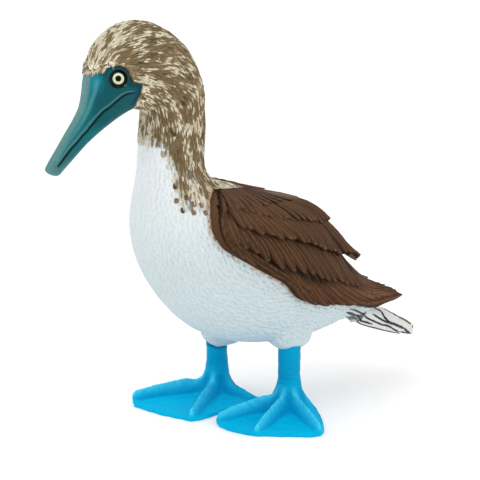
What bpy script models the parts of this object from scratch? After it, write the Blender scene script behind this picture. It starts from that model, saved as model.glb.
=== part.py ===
# A moulded and painted vinyl figure of a blue-footed booby that stands on both webbed feet.
# It faces -Y, its left side is +X and the floor is Z = 0. Measures are in millimetres until
# a vertex is placed, when MM turns them into metres.

import math
import random

import bpy
import bmesh
from mathutils import Matrix, Vector

MM = 0.001
GAP = 0.3
SLIVER = 0.0005
SMOOTH_ANGLE = 35

# Where the middle of the figure's length and width lies, which becomes the origin
MIDDLE_X = 4.69
MIDDLE_Y = -2.59

# Body, head and bill are one skin through oval stations, from the rump to the bill tip.
# Each station gives its belly point (y, z), its back point (y, z) and half its width.
BODY_STATIONS = [
    (25.6, 16.7, 32.2, 19.9, 4.4),
    (18.0, 16.4, 29.4, 23.6, 7.1),
    (8.6, 14.4, 25.9, 28.0, 10.0),
    (-2.2, 14.9, 22.3, 32.7, 12.3),
    (-12.1, 17.7, 18.8, 37.4, 13.8),
    (-20.1, 23.4, 14.7, 41.9, 14.4),
    (-26.2, 31.6, 9.1, 45.8, 14.6),
    (-29.4, 39.8, 1.7, 48.5, 14.2),
    (-29.6, 47.5, -4.4, 51.2, 13.0),
    (-28.5, 53.4, -10.9, 53.7, 10.5),
    (-28.2, 58.0, -13.5, 57.2, 8.3),
    (-27.9, 62.7, -13.5, 61.6, 7.9),
    (-27.3, 67.4, -13.3, 66.4, 8.1),
    (-26.8, 71.5, -13.8, 71.0, 8.2),
    (-25.6, 76.5, -16.0, 76.2, 7.9),
]
HEAD_STATIONS = [
    (-16.5, 67.5, -13.8, 72.5, 4.9),
    (-18.5, 68.0, -14.9, 77.4, 7.2),
    (-21.5, 68.8, -18.4, 84.4, 8.7),
    (-25.0, 69.6, -25.1, 89.0, 9.2),
    (-28.0, 70.3, -31.7, 89.3, 9.3),
    (-29.9, 70.9, -36.7, 86.2, 8.8),
    (-31.0, 70.9, -39.0, 82.3, 7.9),
]
BILL_STATIONS = [
    (-31.9, 70.5, -39.9, 79.1, 6.6),
    (-33.5, 69.6, -40.6, 75.5, 5.2),
    (-35.6, 68.3, -41.5, 72.1, 4.2),
    (-37.9, 66.7, -43.2, 69.6, 3.3),
    (-40.6, 64.6, -45.3, 66.8, 2.6),
    (-43.1, 62.2, -47.2, 64.1, 2.1),
    (-45.5, 59.9, -49.0, 61.6, 1.7),
    (-46.8, 58.6, -49.9, 60.2, 1.4),
]
BODY_SIDES = 28
RINGS_PER_STATION = 2
END_ANGLES = (35, 65)

# Ridge of the mantle behind the neck, between the fronts of the wings
MANTLE_STATIONS = [
    (-16.0, 54.0, -13.3, 56.3, 3.4),
    (-13.0, 50.5, -10.9, 54.0, 4.4),
    (-8.0, 46.5, -5.6, 52.2, 4.0),
    (-3.5, 44.5, -1.1, 50.3, 2.6),
    (0.0, 43.0, 2.1, 48.5, 1.4),
]
MANTLE_SIDES = 12
MANTLE_BULGES = (0.5, 0.8)

# Nearly level cuts that part the neck from the torso and the head from the neck:
# middle (y, z), tilt in degrees and the length of the blade from front to back
NECK_BASE_CUT = (-20.0, 53.4, 18.0, 30.0)
NECK_TOP_CUT = (-20.0, 69.2, -5.0, 20.0)
CUT_WIDTH = 44.0
FIGURE_REACH = 95.0
MIDDLE_SLACK = 0.01

# Edge of the bare blue face and line of the mouth, seen from the side (y, z)
FACE_EDGE = [
    (-46.0, 79.6), (-39.6, 79.3), (-38.4, 80.7), (-36.4, 81.5), (-34.7, 80.5),
    (-33.8, 78.0), (-31.6, 76.9), (-31.7, 73.5), (-31.3, 71.6), (-30.6, 68.0),
]
MOUTH_LINE = [
    (-31.6, 76.2), (-33.6, 75.5), (-35.6, 74.6), (-37.5, 72.7), (-40.4, 69.2),
    (-42.9, 66.5), (-45.8, 63.4), (-47.2, 61.5), (-49.5, 57.5),
]

# Eyes: where each one's dome meets the face, and its ball
EYE_SPOT = (7.5, -36.4, 79.0)
EYE_RADIUS = 1.45
EYE_SINK = 0.85
EYE_SIDES = 12

# Thigh bumps under the belly and the legs that leave them. A foot's rim and its toe ridges
# are given about the leg's middle, by their angle from straight ahead towards the left.
THIGH_RADII = (4.3, 5.4, 5.2)
THIGH_ROUNDNESS = 0.72
LEG_RADIUS = 2.5
ANKLE_HEIGHT = 6.0
ANKLE_RADIUS = 2.65
LEG_SIDES = 20
# How far the leg swells past its radius, at heights from its top down
LEG_SWELL = [(0.15, 21.0), (0.1, 13.0), (0.0, 10.5), (0.0, 8.5)]
WEB_THICKNESS = 1.4
RIM_ROUNDING = 0.3
RIM_SHARE = 0.55
FLARE_POWER = 2.6
# Ridge of a toe: height, run over which it rises from the ankle, width, its share near the
# ankle and what it loses by the tip, and the reach under which it is lower
TOE_RIDGE = 1.85
TOE_RISE = 4.0
TOE_WIDTH = 1.2
TOE_SHARES = (1.4, 1.0)
TOE_FULL_REACH = 8.0
# Share of the ankle's flare where the rim is near, and the reach past which it is whole
NEAR_FLARE = 0.55
FLARE_FULL_REACH = 20.0
# Spokes of the foot's mesh beside each toe, on each web, and the least turn between two
TOE_FLANK = 9.0
WEB_SPOKES = (0.36, 0.5, 0.64)
LEAST_TURN = 2.4
FEET = {
    "left": {
        "leg": (7.4, 5.0), "thigh": (6.6, 5.4, 13.7), "flare": 5.5, "toes": (3.0, 37.0, 80.0),
        "rim": [(-80, 4.4), (-47, 6.3), (-26, 10.0), (-12, 14.2), (-3, 18.4), (2, 19.6), (8, 20.3),
                (17, 20.5), (27, 20.1), (33, 19.9), (37, 19.9), (42, 19.2), (52, 18.7), (65, 18.7),
                (74, 19.3), (80, 19.2), (86, 17.0), (97, 11.9), (126, 6.8), (150, 5.0),
                (180, 3.6), (235, 3.5)],
    },
    "right": {
        "leg": (-10.0, -4.0), "thigh": (-8.6, -3.2, 11.6), "flare": 4.2, "toes": (-9.0, 44.0, 106.0),
        "rim": [(-90, 3.8), (-48, 5.2), (-26, 9.8), (-17, 16.2), (-12, 20.1), (-7, 21.6),
                (-1, 21.7), (9, 20.8), (22, 20.3), (39, 20.3), (44, 20.7), (49, 19.9), (97, 12.0),
                (106, 12.4), (115, 12.0),
                (128, 7.3), (150, 4.1), (200, 3.5)],
    },
}
FOOT_STEPS = (0.0, 0.07, 0.16, 0.28, 0.46, 0.7, 0.95, 1.0)

# The folded wing lies on a form just outside the body that runs on to the wing tips.
# Angles on the form are 0 along the back, 90 at the side and 180 under the belly.
WING_FORM = [
    (-28.9, 54.0, -10.6, 54.5, 11.8),
    (-29.9, 47.5, -4.2, 52.0, 14.4),
    (-29.6, 39.8, 2.0, 49.5, 15.8),
    (-25.9, 31.7, 9.5, 47.0, 16.0),
    (-20.1, 23.4, 15.7, 43.4, 15.7),
    (-12.2, 17.4, 19.9, 38.6, 14.9),
    (-2.2, 14.7, 22.8, 33.3, 13.4),
    (8.6, 13.7, 26.3, 28.5, 11.6),
    (18.0, 16.0, 30.3, 24.8, 9.8),
    (26.5, 18.0, 34.3, 23.9, 7.8),
    (34.4, 19.4, 37.9, 22.6, 5.9),
]
WING_THICKNESS = [(7.0, 1.7), (10.0, 1.1)]
# Edges of the folded wing as (station, angle) along the form
WING_TOP_EDGE = [(0.3, 55), (0.6, 33), (1.0, 16), (1.6, 6), (2.3, 1), (4.9, 1), (5.2, 40),
                 (5.6, 42), (6.3, 37), (7.0, 28), (7.6, 15), (8.3, 9), (9.0, 26), (10.0, 48)]
WING_LOW_EDGE = [(0.3, 68), (0.6, 86), (1.0, 96), (1.6, 103), (2.3, 104), (3.1, 98), (4.3, 89),
                 (5.4, 87), (5.7, 86), (6.5, 77), (7.3, 70), (7.75, 69), (8.4, 73), (9.0, 84),
                 (9.6, 90), (10.0, 80)]
# Overhanging lobe of the shoulder and inner feathers, with the lifts of its two faces
LOBE_TOP_EDGE = [(0.9, 24), (1.6, 7), (2.5, 1), (5.0, 1), (6.5, 8)]
LOBE_LOW_EDGE = [(0.9, 60), (1.6, 70), (2.5, 71), (3.25, 60), (4.15, 51), (5.0, 40), (5.8, 30),
                 (6.3, 24), (6.5, 18)]
LOBE_LIFT = [(0.9, 0.1), (2.2, 0.8), (3.3, 1.3), (4.4, 0.3), (5.4, 0.8), (6.5, 2.2)]
LOBE_UNDERSIDE = [(4.4, -0.5), (5.4, 0.0), (6.5, 1.3)]
PLATE_STEPS = 14
PLATE_COLUMNS = 6
# How far the plates' outer faces dip at their ends and at their lower edges
PLATE_END_DIP = 0.45
PLATE_EDGE_DIP = 0.55

# Tiers of sculpted feathers. Roots and tips run from the front of the wing to its back as
# (station, angle) on the form, "widths" is for the first and last feather, and the feathers
# of a tier on the lobe ride on its lift.
WING_TIERS = {
    "flight": {
        "count": 9, "widths": (2.7, 3.4), "on_lobe": False,
        "roots": [(3.3, 82), (4.1, 77), (4.8, 69), (5.0, 58), (5.0, 50), (5.3, 42)],
        "tips": [(5.1, 90), (5.7, 88), (6.4, 79), (7.4, 71), (8.4, 73), (9.4, 86), (10.1, 72)],
    },
    "coverts": {
        "count": 10, "widths": (3.4, 2.4), "on_lobe": False,
        "roots": [(0.9, 83), (1.6, 75), (2.2, 65), (3.0, 57), (3.7, 50), (4.3, 38)],
        "tips": [(2.2, 93), (3.2, 88), (4.3, 78), (5.1, 70), (5.9, 60), (6.8, 50)],
    },
    "long_shoulder": {
        "count": 10, "widths": (3.5, 2.5), "on_lobe": True,
        "roots": [(0.4, 70), (1.2, 56), (2.0, 49), (2.8, 46), (3.2, 34), (3.8, 14)],
        "tips": [(1.8, 80), (2.75, 70), (3.5, 61), (4.3, 54), (5.1, 43), (6.6, 12)],
    },
    "short_shoulder": {
        "count": 9, "widths": (2.9, 2.3), "on_lobe": True,
        "roots": [(0.35, 54), (0.8, 42), (1.5, 22), (2.2, 18), (3.0, 5)],
        "tips": [(1.1, 70), (2.1, 56), (2.9, 47), (3.6, 39), (4.4, 14)],
    },
}
# Along a feather: share of its length, share of its width
VANE_SECTIONS = [(0.0, 0.6), (0.3, 0.92), (0.65, 1.0), (0.88, 0.66), (1.0, 0.16)]
VANE_ROOT_LIFT = -0.35
VANE_TIP_LIFT = 0.6
VANE_THICKNESS = 0.95
VANE_QUILL_LIFT = 0.3
VANE_TILT = 0.18
# Share of the way by which a feather looks ahead to find its own direction
LOOK_AHEAD = 0.02
# Seeded spread of roots and tips along the wing, of tips across it, and of widths
ROOT_SPREAD = 0.05
TIP_SPREAD = 0.06
TIP_TURN_SPREAD = 1.2
WIDTH_SPREAD = 0.06
SEEDS = {"left": 11, "right": 12, "tail": 13}

# The tail leaves the rump as a wedge, in the same kind of stations
TAIL_STATIONS = [
    (26.0, 14.9, 29.3, 20.8, 5.0),
    (31.0, 12.5, 34.6, 17.8, 4.6),
    (36.0, 10.7, 38.0, 15.7, 3.7),
    (40.5, 9.4, 41.5, 13.2, 2.6),
    (43.9, 8.6, 44.5, 10.8, 1.3),
]
TAIL_SIDES = 16
# Tail feathers from the middle one outward: (angle, station of the root, station of the tip)
TAIL_FEATHERS = [(0, 0.9, 3.9), (26, 0.8, 3.7), (52, 0.7, 3.5), (80, 0.6, 3.1), (110, 0.5, 2.6)]
TAIL_FEATHER_WIDTH = 2.5
TAIL_GATHER = 0.92

COLOURS = {
    "plumage_brown": (0.26, 0.19, 0.12),
    "plumage_white": (0.76, 0.82, 0.84),
    "wing_brown": (0.09, 0.045, 0.025),
    "bill_teal": (0.012, 0.16, 0.19),
    "foot_blue": (0.0, 0.35, 0.72),
    "eye_yellow": (0.75, 0.82, 0.35),
}


def clear_scene():
    for old in list(bpy.data.objects):
        bpy.data.objects.remove(old, do_unlink=True)


def new_collection(name):
    collection = bpy.data.collections.new(name)
    bpy.context.scene.collection.children.link(collection)
    return collection


def make_material(name, roughness):
    material = bpy.data.materials.new(name)
    material.use_nodes = True
    shader = material.node_tree.nodes["Principled BSDF"]
    shader.inputs["Base Color"].default_value = (*COLOURS[name], 1.0)
    shader.inputs["Roughness"].default_value = roughness
    shader.inputs["Metallic"].default_value = 0.0
    material.diffuse_color = (*COLOURS[name], 1.0)
    return material


def blend_table(table, t):
    """Read a (t, value) table at t, straight between its rows."""
    if t <= table[0][0]:
        return table[0][1]
    for (t0, v0), (t1, v1) in zip(table, table[1:]):
        if t <= t1:
            return v0 + (v1 - v0) * (t - t0) / (t1 - t0)
    return table[-1][1]


def station_at(stations, t):
    """Return the station at t, counted in stations, on a smooth curve through them all."""
    last = len(stations) - 1
    first = min(max(int(math.floor(t)), 0), last - 1)
    f = t - first
    rows = [stations[min(max(first + k, 0), last)] for k in (-1, 0, 1, 2)]
    return [
        0.5 * (2 * b + (c - a) * f + (2 * a - 5 * b + 4 * c - d) * f * f
               + (3 * b - a - 3 * c + d) * f ** 3)
        for a, b, c, d in zip(*rows)
    ]


def oval_point(station, angle, lift=0.0):
    """Return a point on a station's oval: 0 degrees is the back, 90 the left, 180 the belly."""
    belly = Vector((0.0, station[0], station[1]))
    back = Vector((0.0, station[2], station[3]))
    half = (back - belly) / 2
    turn = math.radians(angle)
    point = (belly + back) / 2 + half * (1 + lift / half.length) * math.cos(turn)
    point.x = (station[4] + lift) * math.sin(turn)
    return point


def finish_mesh(name, bm, collection):
    """Make a named object in metres of a mesh in millimetres, its faces pointing outward."""
    bmesh.ops.recalc_face_normals(bm, faces=bm.faces)
    bmesh.ops.translate(bm, vec=(-MIDDLE_X, -MIDDLE_Y, 0.0), verts=bm.verts)
    bmesh.ops.scale(bm, vec=(MM, MM, MM), verts=bm.verts)
    mesh = bpy.data.meshes.new(name)
    bm.to_mesh(mesh)
    bm.free()
    obj = bpy.data.objects.new(name, mesh)
    collection.objects.link(obj)
    return obj


def rounded_end(ring, outward):
    """Return the rings and the pole that round off an open end."""
    middle = sum(ring, Vector()) / len(ring)
    rings = []
    for angle in END_ANGLES:
        turn = math.radians(angle)
        rings.append([middle + (p - middle) * math.cos(turn) + outward * math.sin(turn)
                      for p in ring])
    return rings, middle + outward


def loft(name, stations, collection, lift=0.0, bulges=(1.0, 1.0), sides=BODY_SIDES):
    """Skin oval stations as one closed body with rounded ends."""
    count = (len(stations) - 1) * RINGS_PER_STATION + 1
    rings = []
    for i in range(count):
        station = station_at(stations, i / RINGS_PER_STATION)
        rings.append([oval_point(station, 360 * k / sides, lift) for k in range(sides)])
    middles = [sum(ring, Vector()) / sides for ring in rings]
    start_way = (middles[0] - middles[1]).normalized() * (bulges[0] + lift)
    end_way = (middles[-1] - middles[-2]).normalized() * (bulges[1] + lift)
    start_rings, start_pole = rounded_end(rings[0], start_way)
    end_rings, end_pole = rounded_end(rings[-1], end_way)
    rings = list(reversed(start_rings)) + rings + end_rings

    bm = bmesh.new()
    loops = [[bm.verts.new(p) for p in ring] for ring in rings]
    for low, high in zip(loops, loops[1:]):
        for k in range(sides):
            n = (k + 1) % sides
            bm.faces.new((low[k], low[n], high[n], high[k]))
    for loop, pole in ((loops[0], start_pole), (loops[-1], end_pole)):
        tip = bm.verts.new(pole)
        for k in range(sides):
            bm.faces.new((tip, loop[k], loop[(k + 1) % sides]))
    return finish_mesh(name, bm, collection)


def as_cutter(obj):
    obj.hide_render = True
    obj.display_type = "WIRE"
    return obj


def slab(name, cut, cutters):
    """A thin level blade across the figure at (y, z), tilted about X."""
    bm = bmesh.new()
    bmesh.ops.create_cube(bm, size=1.0)
    bmesh.ops.scale(bm, vec=(CUT_WIDTH, cut[3], GAP), verts=bm.verts)
    bmesh.ops.rotate(bm, matrix=Matrix.Rotation(math.radians(cut[2]), 3, "X"), verts=bm.verts)
    bmesh.ops.translate(bm, vec=(0.0, cut[0], cut[1]), verts=bm.verts)
    return as_cutter(finish_mesh(name, bm, cutters))


def ribbon(name, outline, cutters):
    """A thin blade that stands on an outline seen from the side and runs across the figure."""
    bm = bmesh.new()
    near = [bm.verts.new((-CUT_WIDTH / 2, y, z)) for y, z in outline]
    edges = [bm.edges.new(pair) for pair in zip(near, near[1:])]
    grown = bmesh.ops.extrude_edge_only(bm, edges=edges)
    far = [v for v in grown["geom"] if isinstance(v, bmesh.types.BMVert)]
    bmesh.ops.translate(bm, vec=(CUT_WIDTH, 0.0, 0.0), verts=far)
    obj = as_cutter(finish_mesh(name, bm, cutters))
    solid = obj.modifiers.new("thickness", "SOLIDIFY")
    solid.thickness = GAP * MM
    solid.offset = 0.0
    solid.use_even_offset = True
    apply_modifiers(obj)
    face_outward(obj)
    return obj


def face_outward(obj):
    bm = bmesh.new()
    bm.from_mesh(obj.data)
    bmesh.ops.recalc_face_normals(bm, faces=bm.faces)
    bm.to_mesh(obj.data)
    bm.free()


def apply_modifiers(obj):
    evaluated = obj.evaluated_get(bpy.context.evaluated_depsgraph_get())
    mesh = bpy.data.meshes.new_from_object(evaluated)
    old = obj.data
    obj.modifiers.clear()
    obj.data = mesh
    bpy.data.meshes.remove(old)
    mesh.name = obj.name


def cut(obj, cutter):
    modifier = obj.modifiers.new("cut", "BOOLEAN")
    modifier.operation = "DIFFERENCE"
    modifier.object = cutter
    apply_modifiers(obj)


def join_all(obj, pieces):
    """Fuse a collection of closed pieces with an object and remove them."""
    modifier = obj.modifiers.new("join", "BOOLEAN")
    modifier.operation = "UNION"
    modifier.operand_type = "COLLECTION"
    modifier.collection = pieces
    apply_modifiers(obj)
    for piece in list(pieces.objects):
        bpy.data.objects.remove(piece, do_unlink=True)
    bpy.data.collections.remove(pieces)


def islands(bm):
    """List the separate closed surfaces of a mesh as lists of faces, in the mesh's own order."""
    found = []
    seen = set()
    for start in bm.faces:
        if start in seen:
            continue
        seen.add(start)
        group = [start]
        for face in group:
            for edge in face.edges:
                for other in edge.link_faces:
                    if other not in seen:
                        seen.add(other)
                        group.append(other)
        group.sort(key=lambda face: face.index)
        found.append(group)
    return found


def box_size(faces):
    points = [v.co for face in faces for v in face.verts]
    spans = [max(p[k] for p in points) - min(p[k] for p in points) for k in range(3)]
    return spans[0] * spans[1] * spans[2]


def keep_largest(obj):
    """Drop every closed surface of an object but the largest."""
    bm = bmesh.new()
    bm.from_mesh(obj.data)
    groups = sorted(islands(bm), key=box_size)
    for group in groups[:-1]:
        bmesh.ops.delete(bm, geom=group, context="FACES")
    bmesh.ops.dissolve_degenerate(bm, dist=MM * SLIVER, edges=bm.edges)
    bm.to_mesh(obj.data)
    bm.free()


def saw(obj, blade, spots):
    """Cut an object in two with a blade and return the pieces, each named by the spot it is near."""
    cut(obj, blade)
    bm = bmesh.new()
    bm.from_mesh(obj.data)
    groups = sorted(islands(bm), key=box_size, reverse=True)[:2]
    pieces = []
    for name, spot in spots.items():
        target = Vector((spot[0] - MIDDLE_X, spot[1] - MIDDLE_Y, spot[2])) * MM
        nearest = min(groups, key=lambda group: min((face.calc_center_median() - target).length
                                                    for face in group))
        half = obj.copy()
        half.name = name
        half.data = bpy.data.meshes.new(name)
        copy_faces(nearest, half.data)
        obj.users_collection[0].objects.link(half)
        pieces.append(half)
    bm.free()
    bpy.data.objects.remove(obj, do_unlink=True)
    return pieces


def copy_faces(faces, mesh):
    """Write some faces of one mesh into another mesh."""
    bm = bmesh.new()
    copies = {}
    for face in faces:
        for vert in face.verts:
            if vert not in copies:
                copies[vert] = bm.verts.new(vert.co)
        bm.faces.new([copies[vert] for vert in face.verts])
    bm.to_mesh(mesh)
    bm.free()


def ellipsoid(name, middle, radii, collection, grow=0.0, segments=20, roundness=1.0):
    """An ellipsoid, or a soft block where its roundness is below 1."""
    bm = bmesh.new()
    bmesh.ops.create_uvsphere(bm, u_segments=segments, v_segments=segments // 2, radius=1.0)
    for v in bm.verts:
        v.co = [math.copysign(abs(c) ** roundness, c) for c in v.co]
    bmesh.ops.scale(bm, vec=[r + grow for r in radii], verts=bm.verts)
    bmesh.ops.translate(bm, vec=middle, verts=bm.verts)
    return finish_mesh(name, bm, collection)


def part_the_skin(parts, cutters):
    """Model body, neck, head and bill as one skin, then part it with thin cuts."""
    skin = loft("skin", BODY_STATIONS, parts, bulges=(1.0, 2.5))
    additions = new_collection("additions")
    loft("head_and_bill", HEAD_STATIONS + BILL_STATIONS, additions, bulges=(1.0, 0.8))
    for side, foot in FEET.items():
        ellipsoid(f"thigh_{side}", thigh_middle(foot), THIGH_RADII, additions,
                  roundness=THIGH_ROUNDNESS)
    loft("mantle", MANTLE_STATIONS, additions, bulges=MANTLE_BULGES, sides=MANTLE_SIDES)
    join_all(skin, additions)
    blade = slab("neck_base_cut", NECK_BASE_CUT, cutters)
    torso, skin = saw(skin, blade, {"torso": (0, 0, 13), "upper": (0, -25, 90)})
    blade = slab("neck_top_cut", NECK_TOP_CUT, cutters)
    neck, skin = saw(skin, blade, {"neck": (0, -28, 58), "crown": (0, -25, 90)})
    blade = ribbon("face_cut", FACE_EDGE, cutters)
    head, skin = saw(skin, blade, {"head": (0, -25, 90), "bill": (0, -50, 60)})
    blade = ribbon("mouth_cut", MOUTH_LINE, cutters)
    upper, lower = saw(skin, blade, {"bill_upper": (0, -40, 77), "bill_lower": (0, -34, 69)})
    return upper


def make_eyes(bill, parts, cutters):
    for side, sign in (("left", 1), ("right", -1)):
        middle = (sign * (EYE_SPOT[0] - EYE_SINK), EYE_SPOT[1], EYE_SPOT[2])
        radii = (EYE_RADIUS, EYE_RADIUS, EYE_RADIUS)
        ellipsoid(f"eye_{side}", middle, radii, parts, segments=EYE_SIDES)
        socket = ellipsoid(f"socket_{side}", middle, radii, cutters, grow=GAP, segments=EYE_SIDES)
        cut(bill, as_cutter(socket))
    keep_largest(bill)


def thigh_middle(foot):
    x, y, foot_of_thigh = foot["thigh"]
    return (x, y, foot_of_thigh + THIGH_RADII[2])


def foot_reach(foot, angle):
    """Distance from the leg's middle to the foot's rim, along a straight edge between rim spots."""
    rim = foot["rim"] + [(foot["rim"][0][0] + 360, foot["rim"][0][1])]
    while angle < rim[0][0]:
        angle += 360
    for (a0, r0), (a1, r1) in zip(rim, rim[1:]):
        if a0 <= angle <= a1:
            whole, near, far = (math.radians(k) for k in (a1 - a0, angle - a0, a1 - angle))
            return r0 * r1 * math.sin(whole) / (r0 * math.sin(near) + r1 * math.sin(far))
    return rim[0][1]


def foot_angles(foot):
    """Angles of the foot's spokes: its rim spots, the toes' flanks and a few on the webs."""
    angles = {float(a) for a, _ in foot["rim"]}
    for toe in foot["toes"]:
        angles.update((toe - TOE_FLANK, toe, toe + TOE_FLANK))
    for first, second in zip(foot["toes"], foot["toes"][1:]):
        angles.update(first + (second - first) * share for share in WEB_SPOKES)
    kept = []
    for angle in sorted(angles):
        if not kept or angle - kept[-1] > LEAST_TURN:
            kept.append(angle)
    return kept


def foot_height(foot, reach, angle, radius):
    """Height of the foot's upper face: web, flare to the ankle and a ridge on each toe."""
    share = NEAR_FLARE + (1 - NEAR_FLARE) * min(reach / FLARE_FULL_REACH, 1.0)
    run = min(max((radius - ANKLE_RADIUS) / (foot["flare"] * share), 0.0), 1.0)
    height = WEB_THICKNESS + (ANKLE_HEIGHT - WEB_THICKNESS) * (1 - run) ** FLARE_POWER
    for toe in foot["toes"]:
        away = math.radians(angle - toe)
        if math.cos(away) <= 0:
            continue
        ridge = TOE_RIDGE * math.exp(-(radius * math.sin(away) / TOE_WIDTH) ** 2)
        rise = min((radius - ANKLE_RADIUS) / TOE_RISE, 1.0)
        near, lost = TOE_SHARES
        full = min(reach / TOE_FULL_REACH, 1.0)
        height += ridge * rise * full * (near - lost * (radius / reach) ** 2)
    return min(height, ANKLE_HEIGHT)


def make_foot(side, foot, parts):
    angles = foot_angles(foot)
    bm = bmesh.new()
    leg_x, leg_y = foot["leg"]
    loops = []
    for step in FOOT_STEPS:
        loop = []
        for angle in angles:
            reach = foot_reach(foot, angle)
            radius = ANKLE_RADIUS + (reach - ANKLE_RADIUS) * step
            height = foot_height(foot, reach, angle, radius)
            if step == FOOT_STEPS[-1]:
                height *= RIM_SHARE
            turn = math.radians(angle)
            loop.append(bm.verts.new((leg_x + radius * math.sin(turn),
                                      leg_y - radius * math.cos(turn), height)))
        loops.append(loop)
    sole = []
    for angle in angles:
        reach = foot_reach(foot, angle) - RIM_ROUNDING
        turn = math.radians(angle)
        sole.append(bm.verts.new((leg_x + reach * math.sin(turn), leg_y - reach * math.cos(turn), 0.0)))
    loops.append(sole)
    for upper, lower in zip(loops, loops[1:]):
        for k in range(len(angles)):
            n = (k + 1) % len(angles)
            bm.faces.new((upper[k], upper[n], lower[n], lower[k]))
    for loop, height in ((loops[0], ANKLE_HEIGHT), (sole, 0.0)):
        centre = bm.verts.new((leg_x, leg_y, height))
        for k in range(len(angles)):
            bm.faces.new((centre, loop[k], loop[(k + 1) % len(angles)]))
    return finish_mesh(f"foot_{side}", bm, parts)


def make_leg(side, foot, parts, cutters):
    """A turned leg from the ankle up to the thigh, trimmed where it meets the belly."""
    profile = [(0.0, LEG_SWELL[0][1])]
    profile += [(LEG_RADIUS + swell, height) for swell, height in LEG_SWELL]
    profile += [(ANKLE_RADIUS, ANKLE_HEIGHT + GAP), (0.0, ANKLE_HEIGHT + GAP)]
    bm = bmesh.new()
    verts = [bm.verts.new((r, 0.0, z)) for r, z in profile]
    edges = [bm.edges.new(pair) for pair in zip(verts, verts[1:])]
    bmesh.ops.spin(bm, geom=verts + edges, angle=2 * math.pi, steps=LEG_SIDES, use_merge=True,
                   axis=(0, 0, 1), cent=(0, 0, 0))
    bmesh.ops.remove_doubles(bm, verts=bm.verts, dist=0.001)
    bmesh.ops.translate(bm, vec=(foot["leg"][0], foot["leg"][1], 0.0), verts=bm.verts)
    leg = finish_mesh(f"leg_{side}", bm, parts)
    cut(leg, as_cutter(ellipsoid(f"thigh_room_{side}", thigh_middle(foot), THIGH_RADII, cutters,
                                 grow=GAP, roundness=THIGH_ROUNDNESS)))
    cut(leg, bpy.data.objects["body_room"])
    keep_lowest(leg)
    return leg


def keep_lowest(obj):
    """Keep the closed surface of an object that reaches lowest."""
    bm = bmesh.new()
    bm.from_mesh(obj.data)
    groups = sorted(islands(bm), key=lambda group: min(v.co.z for face in group for v in face.verts))
    for group in groups[1:]:
        bmesh.ops.delete(bm, geom=group, context="FACES")
    bm.to_mesh(obj.data)
    bm.free()


def wing_point(t, angle, lift, sign):
    point = oval_point(station_at(WING_FORM, t), angle, lift)
    point.x = max(point.x, GAP / 2 + 2 * MIDDLE_SLACK) * sign
    return point


def plate(name, top_edge, low_edge, outer_lift, inner_lift, sign, collection):
    """A closed curved plate on the wing's form between two edges."""
    first, last = top_edge[0][0], top_edge[-1][0]
    bm = bmesh.new()
    outer, inner = [], []
    for i in range(PLATE_STEPS + 1):
        t = first + (last - first) * i / PLATE_STEPS
        top, low = blend_table(top_edge, t), blend_table(low_edge, t)
        outer_row, inner_row = [], []
        for j in range(PLATE_COLUMNS + 1):
            u = j / PLATE_COLUMNS
            angle = top + (low - top) * u
            dip = PLATE_END_DIP if i in (0, PLATE_STEPS) else 0.0
            dip = PLATE_EDGE_DIP if j == PLATE_COLUMNS else dip
            outer_row.append(bm.verts.new(wing_point(t, angle, outer_lift(t) - dip, sign)))
            inner_row.append(bm.verts.new(wing_point(t, angle, inner_lift(t), sign)))
        outer.append(outer_row)
        inner.append(inner_row)
    for i in range(PLATE_STEPS):
        for j in range(PLATE_COLUMNS):
            for rows in (outer, inner):
                a, b = rows[i][j], rows[i][j + 1]
                c, d = rows[i + 1][j + 1], rows[i + 1][j]
                bm.faces.new((a, b, c))
                bm.faces.new((a, c, d))
    rim_o = outer[0] + [row[-1] for row in outer[1:]] + outer[-1][-2::-1] + [
        row[0] for row in outer[-2:0:-1]]
    rim_i = inner[0] + [row[-1] for row in inner[1:]] + inner[-1][-2::-1] + [
        row[0] for row in inner[-2:0:-1]]
    for k in range(len(rim_o)):
        n = (k + 1) % len(rim_o)
        bm.faces.new((rim_o[k], rim_o[n], rim_i[n], rim_i[k]))
    return finish_mesh(name, bm, collection)


def blend_spots(spots, share):
    """Read a list of (station, angle) spots at a share of its way."""
    place = share * (len(spots) - 1)
    first = min(int(place), len(spots) - 2)
    f = place - first
    return [a + (b - a) * f for a, b in zip(spots[first], spots[first + 1])]


def vane(name, form, base_lift, root, tip, width, sign, collection):
    """A tapered feather laid on a form, sunk at its root and raised at its tip.

    Each section has a quill along the middle of its face, and its front edge dips under
    the feather before it.
    """
    bm = bmesh.new()
    rings = []
    for share, breadth in VANE_SECTIONS:
        t = root[0] + (tip[0] - root[0]) * share
        angle = root[1] + (tip[1] - root[1]) * share
        station = station_at(form, t)
        lift = base_lift(t) + VANE_ROOT_LIFT + (VANE_TIP_LIFT - VANE_ROOT_LIFT) * share
        middle = oval_point(station, angle, lift)
        outward = (oval_point(station, angle, lift + 1.0) - middle).normalized()
        ahead = oval_point(station_at(form, t + (tip[0] - root[0]) * LOOK_AHEAD),
                           angle + (tip[1] - root[1]) * LOOK_AHEAD, lift)
        across = outward.cross(ahead - middle).normalized() * (width / 2 * breadth)
        ring = [
            middle + across + outward * VANE_TILT,
            middle + outward * VANE_QUILL_LIFT * breadth,
            middle - across - outward * VANE_TILT,
            middle - across - outward * (VANE_THICKNESS - VANE_TILT),
            middle + across - outward * (VANE_THICKNESS - VANE_TILT),
        ]
        rings.append([bm.verts.new((p.x * sign, p.y, p.z)) for p in ring])
    for near, far in zip(rings, rings[1:]):
        for k in range(5):
            n = (k + 1) % 5
            bm.faces.new((near[k], near[n], far[n]))
            bm.faces.new((near[k], far[n], far[k]))
    bm.faces.new(rings[0])
    bm.faces.new(rings[-1])
    return finish_mesh(name, bm, collection)


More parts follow.
